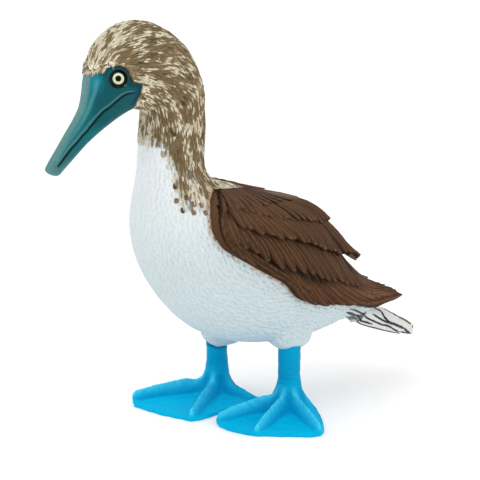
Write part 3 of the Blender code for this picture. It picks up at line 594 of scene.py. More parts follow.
backClear = 0.17  # least distance from the middle of the back, so that the wings don't meet


def readPairs(pairs, share):
    # reads evenly spaced (station, angle) pairs at a share of the way
    rows = np.array(pairs, dtype=float)
    place = share * (len(rows) - 1)
    return np.array([np.interp(place, np.arange(len(rows)), rows[:, k]) for k in range(2)])


def vanes(form, shape, roots, tips, widths, baseLift, looks):
    # feathers laid on a form, sunk at their roots and raised at their tips, one row per vertex
    count = len(roots)
    unit = coords(shape)
    across, along, top = (np.tile(unit[:, k], count) for k in range(3))
    whose = np.repeat(np.arange(count), len(unit))
    run = (tips - roots)[whose]
    where = roots[whose] + run * along[:, None]
    rows = stationsAt(form, where[:, 0])
    lift = baseLift(where[:, 0]) + looks["rootLift"] + (looks["tipLift"] - looks["rootLift"]) * along
    centre = ovalPoints(rows, where[:, 1], lift)
    outward = ovalPoints(rows, where[:, 1], lift + 1.0) - centre
    outward /= np.linalg.norm(outward, axis=1)[:, None]
    ahead = ovalPoints(stationsAt(form, where[:, 0] + run[:, 0] * 0.02),
                       where[:, 1] + run[:, 1] * 0.02, lift)
    side = np.cross(outward, ahead - centre)
    side /= np.linalg.norm(side, axis=1)[:, None]
    breadth = blendTable(looks["profile"], along)
    half = widths[whose] / 2 * breadth
    quill = looks["quill"] * np.exp(-(across * half / 0.2) ** 2) * breadth
    bow = -0.16 * across ** 2 * breadth
    edge = np.clip((np.abs(across) - 0.8) / 0.2, 0, 1) ** 2 * 0.12
    height = looks["tilt"] * across + quill + bow
    height = np.where(top > 0.5, height - edge, height - looks["thickness"])
    return centre + side * (across * half)[:, None] + outward * height[:, None], whose


def plateOn(form, shape, topEdge, lowEdge, outer, inner, endDip=0.45, edgeDip=0.5):
    # a curved plate between two edges on a form
    unit = coords(shape)
    first, last = topEdge[0][0], topEdge[-1][0]
    t = first + (last - first) * unit[:, 1]
    u = (unit[:, 0] + 1) / 2
    high, low = blendTable(topEdge, t), blendTable(lowEdge, t)
    dip = np.maximum(endDip * np.clip(1 - np.minimum(unit[:, 1], 1 - unit[:, 1]) * 14, 0, 1),
                     edgeDip * np.clip((u - 0.85) / 0.15, 0, 1))
    lift = np.where(unit[:, 2] > 0.5, outer(t) - dip, inner(t))
    return ovalPoints(stationsAt(form, t), high + (low - high) * u, lift)


plateShape = flakeShape(20, 60)
vaneShape = flakeShape(vaneLooks["across"], vaneLooks["along"])


def wing(name, sign, node):
    looks = wingLooks
    lobeLift = lambda t: blendTable(looks["lobeLift"], t)
    points = [
        plateOn(wingForm, plateShape, looks["topEdge"], looks["lowEdge"],
                lambda t: 0.0 * t - looks["coreSink"], lambda t: -blendTable(looks["thickness"], t)),
        plateOn(wingForm, plateShape, looks["lobeTop"], looks["lobeLow"],
                lambda t: lobeLift(t) - looks["coreSink"],
                lambda t: blendTable(looks["lobeUnder"], t))]
    shapes = [plateShape, plateShape]
    unit = coords(plateShape)
    across, along, tint = ([np.full(len(unit), looks[key])] * 2
                           for key in ("plateAcross", "plateAlong", "plateTint"))
    spots = [np.column_stack((unit[:, 0] * 0.2 + 0.5, unit[:, 1]))] * 2
    unit = coords(vaneShape)
    for row in wingTiers.values():
        draw = np.random.default_rng(row["seed"] + (100 if sign < 0 else 0))
        count = row["count"]
        shares = np.linspace(0, 1, count)
        roots = np.array([readPairs(row["roots"], s) for s in shares])
        tips = np.array([readPairs(row["tips"], s) for s in shares])
        roots[:, 0] += draw.uniform(-0.05, 0.05, count)
        tips[:, 0] += draw.uniform(-0.08, 0.08, count)
        tips[:, 1] += draw.uniform(-1.2, 1.2, count)
        widths = np.linspace(*row["widths"], count) * draw.uniform(0.92, 1.08, count)
        base = lobeLift if row["onLobe"] else (lambda t: 0.0 * t)
        laid, whose = vanes(wingForm, vaneShape, roots, tips, widths,
                            lambda t: base(t) + row["lift"],
                            dict(vaneLooks, rootLift=row.get("rootLift", vaneLooks["rootLift"])))
        points.append(laid)
        shapes += [vaneShape] * count
        across.append(np.tile(unit[:, 0], count))
        bare = row.get("lit", 0.0)  # roots that no other tier shades are painted lighter
        along.append(bare + (1 - bare) * np.tile(unit[:, 1], count))
        tint.append(draw.random(count)[whose])
        midway = (roots + tips) / 2
        spots.append(np.column_stack((midway[:, 1] / 180, midway[:, 0] / 11))[whose])
    mesh = manyOf(shapes)
    points = np.concatenate(points)
    points[:, 0] = np.maximum(points[:, 0], backClear) * sign
    setCoords(mesh, onFigure(points))
    across, along = np.concatenate(across), np.concatenate(along)
    keepNumbers(mesh, "across", across)
    keepNumbers(mesh, "along", along)
    keepNumbers(mesh, "tint", np.concatenate(tint))
    bakePatches(mesh, np.concatenate(spots), np.column_stack((across, along * 2 - 1)), 0.01)
    tidyMesh(mesh)
    return addPiece(name, mesh, wingMaterial, (node,))


def wingPaint(start, place):
    tint, along, across = (start.attribute(name) for name in ("tint", "along", "across"))
    x, y, z = place.parts()
    redder = z.rise(36.0, 22.0) * 0.45 + y.rise(-14.0, -25.0) * z.rise(50.0, 38.0) * 0.8
    base = (tint * 0.8).mix((0.06, 0.027, 0.010), (0.115, 0.052, 0.021))
    base = (z.rise(40.0, 50.0) * 0.5).mix(base, (0.15, 0.072, 0.036))
    base = redder.mix(base, (0.125, 0.038, 0.011))
    worn = place.noise(1.1, 3.0).rise(0.35, 0.65)
    # raised edges, tips and shafts are lighter: partly dry-brushed paint, partly painted highlight
    rim = across.rise(0.55, 0.95) * along.rise(0.25, 0.6)
    edge = rim.most(along.rise(0.9, 1.0)) * (worn * 0.7 + 0.2)
    lit = edge.mix(base, (0.25, 0.13, 0.07))
    quill = abs(across).rise(0.16, 0.04) * along.rise(0.1, 0.4) * 0.5
    lit = quill.mix(lit, (0.20, 0.10, 0.05))
    # painted shade: the edge of each feather that tucks under its neighbour is nearly black
    lit = (across.rise(-0.4, -0.95) * 0.9).mix(lit, (0.014, 0.006, 0.003))
    # painted shade: each feather darkens toward its root, under the feather above
    colour = along.rise(0.05, 0.5).mix((0.013, 0.006, 0.003), lit)
    lines = across * 26.0 + abs(across) * along * 12.0
    return {"Base Color": colour, "Roughness": worn * 0.15 + 0.4,
            "Height": (lines.maths("SINE", lines) + place.noise(1.8, 3.0) * 3.0, 0.05)}


wingMaterial = paint("paintedWing", wingPaint, Specular_IOR_Level=0.12)
wingLeft = wing("wingLeftFeathers", 1, "wing_left")
wingRight = wing("wingRightFeathers", -1, "wing_right")


# Tail: a core with feathers round it, and dark strips laid along them
tailForm = [
    (26.0, 14.9, 29.3, 20.8, 5.0), (31.0, 12.5, 34.6, 17.8, 4.6), (36.0, 10.7, 38.0, 15.7, 3.7),
    (40.5, 9.4, 41.5, 13.2, 2.6), (43.9, 8.6, 44.5, 10.8, 1.3),
]
tailLooks = {
    "feathers": [(0, 0.9, 3.9), (20, 0.8, 3.8), (40, 0.75, 3.65), (60, 0.7, 3.4), (82, 0.6, 3.1),
                 (108, 0.5, 2.6)],
    "width": 2.1, "gather": 0.92, "seed": 31,
}
# Dark lines: half width in mm, then the way along the side of the tail
tailLines = [
    (0.26, [(9.0, 20.2, 21.4), (7.5, 22.9, 20.1), (4.8, 26.4, 18.1), (4.7, 28.2, 16.6),
            (4.5, 31.5, 14.8), (4.2, 35.2, 12.8), (2.3, 40.1, 10.5), (1.2, 42.8, 9.6)]),
    (0.45, [(9.0, 19.4, 20.6), (7.8, 21.3, 19.7), (5.0, 24.6, 17.6), (3.6, 26.9, 15.9),
            (3.9, 30.2, 14.6)]),
    (0.22, [(8.0, 20.2, 18.6), (4.2, 24.4, 16.0), (2.1, 27.7, 14.5), (2.9, 31.8, 13.0),
            (1.9, 36.9, 10.9), (1.6, 39.6, 9.9)]),
    (0.36, [(3.6, 31.0, 19.0), (3.3, 33.1, 17.6), (4.3, 33.3, 16.6), (4.4, 34.1, 15.3),
            (4.4, 36.4, 13.7), (3.5, 39.1, 12.3), (2.0, 42.1, 10.1), (1.2, 43.4, 9.3)]),
    (0.28, [(4.7, 29.6, 17.6), (4.6, 31.0, 16.6), (4.6, 32.5, 15.6), (4.5, 34.0, 14.8),
            (4.3, 36.4, 13.6)]),
    (0.24, [(0.4, 35.6, 17.2), (1.4, 37.6, 16.0), (2.4, 39.0, 15.0), (2.2, 41.8, 12.9),
            (1.2, 43.8, 10.8)]),
]
creamWay = [(2.9, 34.0, 17.2), (3.4, 37.0, 15.6), (3.0, 39.8, 13.6), (1.8, 42.8, 11.0)]


def tail():
    looks = tailLooks
    draw = np.random.default_rng(looks["seed"])
    roots, tips = [], []
    for angle, root, tip in looks["feathers"]:
        for sign in (1, -1) if angle else (1,):
            turn = draw.uniform(-1.0, 1.0)
            roots.append((root + draw.uniform(-0.05, 0.05), sign * (angle + turn)))
            tips.append((tip + draw.uniform(-0.05, 0.05), sign * (angle * looks["gather"] - turn)))
    roots, tips = np.array(roots), np.array(tips)
    widths = looks["width"] * draw.uniform(0.95, 1.05, len(roots))
    tailVane = flakeShape(14, 30)
    laid, whose = vanes(tailForm, tailVane, roots, tips, widths, lambda t: 0.0 * t,
                        dict(vaneLooks, quill=0.16, tilt=0.16, tipLift=0.5, rootLift=-1.0))
    unit = coords(tailVane)
    core = coords(plateShape)
    shell = ovalPoints(stationsAt(tailForm, core[:, 1] * 3.9), core[:, 0] * 179.0,
                       np.where(core[:, 2] > 0.5, -0.35, -1.0))
    mesh = manyOf([tailVane] * len(roots) + [plateShape])
    points = np.concatenate((laid, shell))
    setCoords(mesh, onFigure(points))
    across = np.concatenate((np.tile(unit[:, 0], len(roots)), core[:, 0]))
    along = np.concatenate((np.tile(unit[:, 1], len(roots)), core[:, 1]))
    folded = np.column_stack((np.abs(points[:, 0]), points[:, 1:]))
    keepNumbers(mesh, "cream", pathDistance(folded, creamWay)[0])
    spots = np.concatenate((np.column_stack((roots[:, 1] / 360 + 0.5, roots[:, 0] / 4))[whose],
                            np.full((len(core), 2), 0.9)))
    bakePatches(mesh, spots, np.column_stack((across, along * 2 - 1)), 0.01)
    tidyMesh(mesh)
    return addPiece("tailFeathers", mesh, tailMaterial, ("tail",))


def tailPaint(start, place):
    cream = start.attribute("cream")
    x, y, z = place.parts()
    base = (cream.rise(1.1, 0.4) * 0.55).mix((0.74, 0.78, 0.79), (0.78, 0.68, 0.50))
    # painted shade: the underside of the tail is painted pinkish grey
    under = (z - 14.2 + (y - 28.0) * 0.36).rise(0.3, -0.9)
    base = (under * 0.6).mix(base, (0.42, 0.33, 0.33))
    return {"Base Color": base, "Height": (place.noise(2.5, 2.0), 0.05)}


def linePaint(start, place):
    worn = place.noise(1.4, 3.0).rise(0.35, 0.7)
    return {"Base Color": (worn * 0.5).mix((0.03, 0.018, 0.015), (0.16, 0.12, 0.10))}


stripeLooks = {"share": 0.8, "taper": 8, "endShare": 0.25, "rise": 0.2, "bow": 0.1}


def tailStripes():
    # each line is a thin strip that lies on the tail and the rump in front of it
    looks = stripeLooks
    lineShape = flakeShape(2, 36)
    unit = coords(lineShape)
    across, along, top = unit.T
    tree = treeOf([tailPiece.data, skinMesh])
    laid, spots = [], []
    for half, path in tailLines:
        for side in bothSides(path):
            fine = onSurface(side, tree)
            where = along * (len(fine) - 1)
            steps = np.arange(len(fine))
            centre, ahead = (np.column_stack([np.interp(where + step, steps, fine[:, k])
                                              for k in range(3)]) for step in (-0.4, 0.4))
            way = (ahead - centre) / np.linalg.norm(ahead - centre, axis=1)[:, None]
            centre = (centre + ahead) / 2
            found = [tree.find_nearest(Vector(p)) for p in onFigure(centre)]
            outward = np.array([hit[1] for hit in found])
            ends = np.clip(np.minimum(along, 1 - along) * looks["taper"], looks["endShare"], 1)
            breadth = looks["share"] * half * ends
            sideways = np.cross(outward, way)
            lift = np.where(top > 0.5, looks["rise"] - looks["bow"] * across ** 2, -looks["rise"])
            laid.append(centre + sideways * (across * breadth)[:, None] + outward * lift[:, None])
            spots.append(unrolled(fine[:1]).repeat(len(unit), axis=0))
    mesh = manyOf([lineShape] * len(laid))
    setCoords(mesh, onFigure(np.concatenate(laid)))
    bakePatches(mesh, np.concatenate(spots),
                np.tile(np.column_stack((across, along * 2 - 1)), (len(laid), 1)))
    tidyMesh(mesh)
    addPiece("tailStripes", mesh, paint("paintedLines", linePaint, Roughness=0.5,
                                        Specular_IOR_Level=0.15))


tailMaterial = paint("paintedTail", tailPaint, Roughness=0.45, Specular_IOR_Level=0.3)
tailPiece = tail()
tailStripes()


# Bill and bare face: one horn over both halves of the bill, with its lines carved and painted
billLooks = {
    "nodes": ("bill_upper", "bill_lower", "eye_left", "eye_right"),
    "grow": 0.2, "voxel": 0.18, "rounds": 3,
    "paths": {
        "mouth": [(8.0, -33.2, 75.8), (7.8, -34.1, 75.7), (7.6, -34.5, 75.6), (7.1, -35.2, 75.1),
                  (6.2, -35.9, 74.3), (5.2, -37.2, 72.8), (4.6, -38.6, 71.7), (4.0, -39.5, 70.6),
                  (3.1, -40.3, 69.3), (2.6, -41.5, 67.8), (2.5, -42.7, 66.6), (2.3, -43.7, 65.4),
                  (2.1, -44.8, 64.3), (2.0, -45.8, 63.1), (1.9, -46.9, 61.7), (1.7, -47.7, 60.8)],
        "ridge": [(3.4, -39.4, 77.9), (3.2, -39.7, 75.8), (2.6, -40.4, 73.5), (2.3, -41.2, 71.4),
                  (2.3, -42.4, 69.2), (2.1, -44.0, 66.9), (1.8, -45.7, 64.7), (1.6, -47.5, 62.1)],
        "groove": [(4.8, -38.6, 78.0), (4.0, -39.2, 75.7), (3.4, -39.9, 73.4), (3.0, -40.6, 71.5),
                   (2.7, -41.7, 69.7), (2.4, -43.2, 67.5), (2.0, -44.9, 65.5), (1.8, -46.4, 63.3),
                   (1.7, -47.3, 61.7)],
        "rim": [(4.8, -38.4, 80.3), (5.2, -37.6, 80.9), (6.1, -36.9, 81.1), (7.2, -36.0, 81.2),
                (7.8, -35.3, 80.9), (8.1, -34.7, 80.4), (8.3, -34.3, 79.5), (8.3, -34.1, 78.6),
                (8.4, -34.2, 77.8), (8.5, -33.6, 77.4), (8.6, -32.4, 77.3), (8.6, -32.0, 76.8),
                (8.1, -32.0, 75.7), (7.2, -32.4, 74.3), (6.2, -32.8, 73.2)],
        "fore": [(0.0, -39.9, 79.1), (1.8, -39.7, 79.1), (2.8, -39.2, 79.5), (3.9, -38.8, 80.0),
                 (4.8, -38.4, 80.3), (5.2, -37.6, 80.9)],
    },
    # way of each carved line: width, and depth or, below 0, height
    "carving": {"mouth": (0.2, 0.36), "ridge": (0.45, -0.1), "groove": (0.4, 0.16),
                "rim": (0.4, -0.12)},
    "lipRise": (-0.15, -0.3, 0.42),
    # squares the rear corner of the face: place, pull and how far it reaches
    "corner": ((8.4, -32.3, 77.0), (0.0, 0.35, 0.55), 0.9),
    # the horn stands back behind each eye bead
    "socket": 1.75, "socketEdge": 0.35, "socketDepth": 0.65, "socketReach": 3.0,
}
eyeLooks = {
    "spot": (8.0, -36.7, 79.0), "way": (0.868, -0.454, 0.202), "radius": 2.0, "sink": 1.85,
    "pupil": 0.62, "ring": 1.15, "surround": 1.84,
}


def billHorn():
    looks = billLooks
    mesh = skinOver(looks["nodes"], looks["grow"], looks["voxel"], 0.0, looks["rounds"])
    corner, pull, reach = looks["corner"]
    points = drawn(coords(mesh))
    for sign in (1, -1):
        away = np.linalg.norm(points - np.array(corner) * (sign, 1, 1), axis=1)
        points += np.exp(-(away / reach) ** 2)[:, None] * np.array(pull)
        fromSpot = points - np.array(eyeLooks["spot"]) * (sign, 1, 1)
        way = np.array(eyeLooks["way"]) * (sign, 1, 1)
        off = np.linalg.norm(np.cross(fromSpot, way), axis=1)
        socket = np.clip((looks["socket"] - off) / looks["socketEdge"], 0, 1)
        socket *= np.abs(fromSpot @ way) < looks["socketReach"]
        points -= socket[:, None] * way * looks["socketDepth"]
    setCoords(mesh, onFigure(points))
    tree = treeOf([mesh])
    lip = [tuple(np.array(p) + looks["lipRise"]) for p in looks["paths"]["mouth"]]
    for mark, path in {**looks["paths"], "lip": lip}.items():
        sides = [onSurface(side, tree) for side in bothSides(path)]
        keepNumbers(mesh, mark, np.minimum(*(pathDistance(points, side)[0] for side in sides)))
        if mark in looks["carving"]:
            width, depth = looks["carving"][mark]
            for side in sides:
                carve(mesh, side, width, depth, 0.06)
    return addPiece("billHorn", mesh, billMaterial, ("bill_upper", "bill_lower"))


def awayFromEye(start, place):
    # distance in mm from the line along which either eye looks out
    x, y, z = place.parts()
    folded = start.node("ShaderNodeCombineXYZ", {}, {0: abs(x), 1: y, 2: z})
    fromSpot = folded.vector("SUBTRACT", folded, eyeLooks["spot"])
    crossed = fromSpot.vector("CROSS_PRODUCT", fromSpot, eyeLooks["way"])
    return crossed.vector("LENGTH", crossed, out=1)


def billPaint(start, place):
    x, y, z = place.parts()
    mouth, lip, ridge, groove, rim = (
        start.attribute(name) for name in ("mouth", "lip", "ridge", "groove", "rim"))
    toEye = awayFromEye(start, place)
    speck = place.noise(3.0, 3.0)
    toTip = (y * -1.0 - z * 0.25).rise(22.0, 33.0)
    colour = (toTip * 0.6).mix((0.0, 0.085, 0.10), (0.03, 0.165, 0.17))
    front = abs(x).rise(3.9, 2.6) * z.rise(60.0, 70.0)
    colour = (front * 0.85).mix(colour, (0.0, 0.175, 0.20))
    bright = ridge.rise(2.4, 0.6) * z.rise(74.5, 77.5)
    colour = (bright * 0.9).mix(colour, (0.0, 0.25, 0.32))
    # painted highlight: lighter teal along the top of the bill and along the raised ridge
    culmenHighlight = abs(x).rise(2.2, 0.9)
    colour = (culmenHighlight * 0.8).mix(colour, (0.13, 0.28, 0.28))
    colour = (ridge.rise(0.75, 0.2) * 0.6).mix(colour, (0.085, 0.30, 0.33))
    # painted shade: darker teal in the carved groove
    colour = (groove.rise(0.6, 0.15) * 0.6).mix(colour, (0.006, 0.085, 0.11))
    # painted highlight: a lighter line along the upper lip, above the mouth
    colour = (lip.rise(0.34, 0.1) * 0.55).mix(colour, (0.085, 0.25, 0.27))
    colour = (rim.rise(0.8, 0.25) * 0.8).mix(colour, (0.003, 0.035, 0.05))
    colour = (speck.rise(0.5, 0.72) * 0.35).mix(colour, (0.008, 0.075, 0.095))
    colour = mouth.rise(0.34, 0.15).mix(colour, (0.002, 0.02, 0.026))
    # painted shade: darker teal round the socket of each eye
    colour = (toEye.rise(2.35, 1.95) * 0.75).mix(colour, (0.006, 0.07, 0.09))
    colour = toEye.rise(1.95, 1.78).mix(colour, (0.002, 0.006, 0.006))
    return {"Base Color": colour, "Roughness": speck * 0.2 + 0.32,
            "Height": (place.noise(1.6, 3.0), 0.14)}


def eyePaint(start, place):
    away = awayFromEye(start, place)
    ring = away.rise(eyeLooks["ring"] + 0.06, eyeLooks["ring"] - 0.06)
    pupil = away.rise(eyeLooks["pupil"] + 0.06, eyeLooks["pupil"] - 0.06)
    colour = ring.mix((0.002, 0.005, 0.005), (0.62, 0.70, 0.42))
    return {"Base Color": pupil.mix(colour, (0.003, 0.003, 0.002))}


def eyeBead(side, sign):
    looks = eyeLooks
    centre = (np.array(looks["spot"]) - np.array(looks["way"]) * looks["sink"]) * (sign, 1, 1)
    bm = bmesh.new()
    bmesh.ops.create_icosphere(bm, subdivisions=5, radius=looks["radius"] * mm)
    bmesh.ops.translate(bm, verts=bm.verts, vec=Vector(onFigure(centre)))
    addPiece("eyeBead" + side.capitalize(), meshFrom(bm, "eye"), eyeMaterial,
             ("eye_" + side,))


billMaterial = paint("paintedBill", billPaint, Specular_IOR_Level=0.12)
eyeMaterial = paint("paintedEye", eyePaint, Roughness=0.3, Specular_IOR_Level=0.08)
hornPiece = billHorn()
eyeBead("left", 1)
eyeBead("right", -1)


# Legs and feet: thick rims, hollow webs and a ridge along each toe
footLooks = {
    "grow": 0.2, "voxel": 0.24, "rounds": 7, "ridge": 0.65, "hollow": 0.5, "crestWidth": 0.6,
    "legFrom": 4.0, "legEnd": 0.9, "legRounds": 30, "legGrow": 0.1, "intoThigh": 1.6,
    "topLength": 1.2, "toeStart": 2.0, "toeEnd": 0.8, "flankAway": 1.9, "flankWidth": 1.1,
    # each toe: its angle, how far it reaches and the height of its ridge
    "left": {"leg": (7.4, 5.0), "toes": ((3.0, 19.7, 1.0), (37.0, 19.9, 1.0), (80.0, 19.2, 1.0))},
    "right": {"leg": (-10.0, -4.0), "toes": ((-9.0, 21.4, 1.0), (44.0, 20.7, 1.0), (106.0, 12.4, 0.2))},
}


def footPiece(name, side):
    looks = footLooks
    nodes = (f"leg_{side}", f"foot_{side}")
    mesh = skinOver(nodes, looks["grow"], looks["voxel"], 0.0, looks["rounds"])
    bm = bmesh.new()
    bm.from_mesh(mesh)
    legTop = max(v.co.z for v in bm.verts) - looks["legEnd"] * mm
    leg = [v for v in bm.verts if looks["legFrom"] * mm < v.co.z < legTop]
    smoothOver(bm, leg, looks["legRounds"])
    bm.to_mesh(mesh)
    bm.free()
    points, outward = drawn(coords(mesh)), normals(mesh)
    onLeg = np.clip(points[:, 2] - looks["legFrom"], 0, 1)
    points += outward * (onLeg * looks["legGrow"])[:, None]
    points[:, 2] += looks["intoThigh"] * np.clip(points[:, 2] - points[:, 2].max() + looks["topLength"], 0, 1)
    legX, legY = looks[side]["leg"]
    onFloor = points * (1, 1, 0)
    crest, flank = np.zeros(len(points)), np.zeros(len(points))
    for angle, reach, height in looks[side]["toes"]:
        turn = math.radians(angle)
        toe = [(legX + r * math.sin(turn), legY - r * math.cos(turn), 0)
               for r in (looks["toeStart"], reach - looks["toeEnd"])]
        away = pathDistance(onFloor, toe)[0]
        crest = np.maximum(crest, height * np.exp(-(away / looks["crestWidth"]) ** 2))
        beside = (away - looks["flankAway"]) / looks["flankWidth"]
        flank = np.maximum(flank, np.exp(-beside ** 2))
    fromLeg = np.hypot(points[:, 0] - legX, points[:, 1] - legY)
    onTop = np.clip(outward[:, 2] * 2 - 0.2, 0, 1) * np.clip((points[:, 2] - 0.9) / 0.3, 0, 1)
    inWeb = onTop * np.clip((fromLeg - 4.0) / 3.0, 0, 1)
    points[:, 2] += inWeb * (looks["ridge"] * crest - looks["hollow"] * (1 - crest))
    rough = np.array([noise.noise(Vector(p) * 0.55) + 0.5 * noise.noise(Vector(p) * 1.7)
                      for p in points])
    points -= outward * (np.clip(rough + 0.5, 0, 1) * 0.16)[:, None]
    points[:, 2] = np.where(points[:, 2] < 0.3, 0.0, points[:, 2])
    setCoords(mesh, onFigure(points))
    keepNumbers(mesh, "crest", crest)
    keepNumbers(mesh, "flank", flank)
    return addPiece(name, mesh, footMaterial, nodes)


def footPaint(start, place):
    crest, flank = (start.attribute(name) for name in ("crest", "flank"))
    x, y, z = place.parts()
    worn = place.noise(0.8, 3.0)
    base = z.rise(3.0, 8.5).mix((0.0, 0.48, 0.79), (0.002, 0.35, 0.61))
    onToes = z.rise(6.5, 4.0)
    # painted shade: the webs beside each toe's crest are darker
    base = (flank * z.rise(0.9, 1.4) * onToes * 0.8).mix(base, (0.0, 0.25, 0.53))
    # lighter paint on the toe crests: partly dry-brush, partly painted highlight
    lit = (crest * (worn * 0.8 + 0.4) * z.rise(0.8, 1.8) * onToes).mix(base, (0.08, 0.72, 0.96))
    lit = (worn.rise(0.5, 0.3) * 0.3).mix(lit, (0.0, 0.33, 0.64))
    wave = z * 5.0 + x * 0.7
    folds = wave.maths("SINE", wave) * z.rise(4.0, 5.5) * z.rise(11.0, 8.5)
    return {"Base Color": lit, "Roughness": worn * 0.2 + 0.38,
            "Height": (place.noise(0.9, 2.0) + folds * 0.35, 0.12)}


footMaterial = paint("paintedFoot", footPaint, Specular_IOR_Level=0.03)
footLeft = footPiece("footLeftSkin", "left")
footRight = footPiece("footRightSkin", "right")


# Small feathers, laid on the skin and on the rims of what stands in it
covers = [treeOf([piece.data])
          for piece in (wingLeft, wingRight, tailPiece, hornPiece, footLeft, footRight)]
ground = treeOf([skinMesh, hornPiece.data, footLeft.data, footRight.data])
wingTree = treeOf([wingLeft.data, wingRight.data])
legTree = treeOf([footLeft.data, footRight.data])


def isOpen(spots, facing):
    # false where a wing, the tail, the bill or a leg lies over the place
    free = np.ones(len(spots), dtype=bool)
    for i, (spot, way) in enumerate(zip(onFigure(spots), facing)):
        way = Vector(way)
        start = Vector(spot) + way * 0.02 * mm
        free[i] = all(tree.ray_cast(start, way, 3.0 * mm)[0] is None for tree in covers)
    return free


def isBrown(spots):
    looks = plumageLooks
    x, y, z = np.abs(spots[:, 0]), spots[:, 1], spots[:, 2]
    drop = looks["bibTop"] - z
    bib = looks["bibSide"] + drop * looks["bibSlope"] + drop * drop * looks["bibCurve"]
    return (drop < 0) | ((z > looks["brownEnd"] - 1) & ((x > bib) | (y > looks["mantle"] - 1)))


coatLooks = {
    "head": {
        "gap": 0.46, "length": 2.0, "width": 0.235, "seed": 41, "tries": 80000,
        "profile": [(0.0, 0.6), (0.35, 1.0), (0.7, 0.85), (1.0, 0.15)],
        "rise": [(0.0, -0.08), (0.3, 0.08), (0.8, 0.24), (1.0, 0.14)], "bow": 0.75,
        "slot": "plumage_brown", "paint": streakedPaint},
    "body": {
        "gap": 0.92, "length": 1.9, "width": 0.62, "seed": 42, "tries": 60000,
        "profile": [(0.0, 0.7), (0.4, 1.0), (0.75, 0.98), (0.9, 0.75), (1.0, 0.35)],
        "rise": [(0.0, -0.08), (0.4, 0.03), (0.85, 0.065), (1.0, 0.02)], "bow": 0.45,
        "slot": "plumage_white", "paint": whitePaint},
}
headStart, breastEnd = 71.0, -14.0  # height and depth where the coat's pieces meet
legClear = 2.3  # body feathers start this far from the legs
faceRow = {"gap": 0.5, "back": 1.5, "length": 2.1, "width": 0.22, "raised": 0.12,
           "middle": (3.6, -39.0, 75.5)}
# brown dots on the white in front of each wing
neckDots = [
    (9.7, -23.2, 53.3), (10.1, -22.5, 52.8), (11.7, -19.6, 51.3), (11.7, -21.5, 49.8),
    (10.5, -23.5, 50.4), (11.0, -17.7, 52.6), (8.3, -24.1, 55.2), (11.2, -21.2, 51.6),
    (12.3, -19.0, 49.6), (9.3, -24.4, 52.2),
]
dotLooks = {"length": 1.25, "width": 0.5, "raised": 0.1, "tint": -0.3}


def rowOverFace(looks):
    # roots, normals and ways of the pale feathers that hang over the face's upper edge
    path = np.array(billLooks["paths"]["fore"])
    gone = np.concatenate(((0.0,), np.cumsum(np.linalg.norm(np.diff(path, axis=0), axis=1))))
    spots, facing, ways = [], [], []
    for sign in (1, -1):
        for where in np.arange(0.2, gone[-1], looks["gap"]):
            edge = np.array([np.interp(where, gone, path[:, k]) for k in range(3)])
            away = edge - looks["middle"] * np.array((0.6 if where < 2.5 else 1, 1, 1))
            spot, normal = ground.find_nearest(Vector(onFigure(edge * (sign, 1, 1))))[:2]
            normal = np.array(normal)
            away = away * (sign, 1, 1)
            away -= normal * (away @ normal)
            away /= np.linalg.norm(away)
            spots.append(edge * (sign, 1, 1) + away * looks["back"])
            facing.append(normal)
            ways.append(-away)
    return np.array(spots), np.array(facing), np.array(ways)


def rowOfDots(looks):
    spots = np.array([p for side in bothSides(neckDots) for p in side])
    found = [ground.find_nearest(Vector(p))[:2] for p in onFigure(spots)]
    spots, facing = drawn([hit[0] for hit in found]), np.array([hit[1] for hit in found])
    ways = lieAt(spots, facing)
    return spots - ways * looks["length"] / 2, facing, ways


def layFlakes(shape, spots, facing, ways, sizes, tints, looks):
    # lays one small feather at each spot, bent to the ground under it
    count = len(spots)
    unit = coords(shape)
    mesh = manyOf([shape] * count)
    across, along, top = (np.tile(unit[:, k], count) for k in range(3))
    whose = np.repeat(np.arange(count), len(unit))
    side = np.cross(facing, ways)
    length, width = sizes[:, 0][whose], sizes[:, 1][whose]
    flat = (spots[whose] + ways[whose] * (along * length)[:, None]
            + side[whose] * (across * width * blendTable(looks["profile"], along))[:, None])
    places = np.empty((len(flat), 3))
    outward = np.empty((len(flat), 3))
    for i, point in enumerate(onFigure(flat)):
        places[i], outward[i] = ground.find_nearest(Vector(point))[:2]
    lift = blendTable(looks["rise"], along) * (1 - looks["bow"] * across ** 2)
    lift += sizes[:, 2][whose]
    lift = np.where(top > 0.5, lift, -0.3)
    setCoords(mesh, places + outward * (lift * mm)[:, None])
    keepNumbers(mesh, "along", along)
    keepNumbers(mesh, "across", across)
    keepNumbers(mesh, "tint", tints[whose])
    near = np.repeat(distances(wingTree, spots) < 3.0, len(unit))
    halo = np.full(len(flat), 3.0)
    halo[near] = distances(wingTree, drawn(places[near]))
    keepNumbers(mesh, "halo", halo)
    keepPlaces(mesh, "root", onFigure(spots[whose]))
    bakePatches(mesh, unrolled(spots)[whose], np.column_stack((across, along * 2 - 1)))
    tidyMesh(mesh)
    return mesh


def coat(looks, wanted, shape, pieces, more):
    # more is a row of extra feathers: its looks, where they lie, and its lengths and tints
    spots, facing, draw = scatterRoots(skinMesh, looks["gap"], looks["seed"], wanted, looks["tries"])
    ways = lieAt(spots, facing)
    count = len(spots)
    sizes = np.column_stack((looks["length"] * draw.uniform(0.75, 1.2, count),
                             looks["width"] * draw.uniform(0.8, 1.2, count), np.zeros(count)))
    turn = draw.uniform(-0.16, 0.16, count)[:, None]
    ways = ways * np.cos(turn) + np.cross(facing, ways) * np.sin(turn)
    tints = draw.random(count)
    # then the feathers of a row of its own
    row, laid, lengths, shades = more
    spots, facing, ways = (np.concatenate(pair) for pair in zip((spots, facing, ways), laid))
    extra = len(laid[0])
    sizes = np.concatenate((sizes, np.column_stack((
        row["length"] * draw.uniform(*lengths, extra), np.full(extra, row["width"]),
        np.full(extra, row["raised"])))))
    tints = np.concatenate((tints, draw.uniform(*shades, extra)))
    for name, part in pieces.items():
        some = part(spots)
        chosen = [rows[some] for rows in (spots, facing, ways, sizes, tints)]
        addPiece(name, layFlakes(shape, *chosen, looks), looks["paint"])


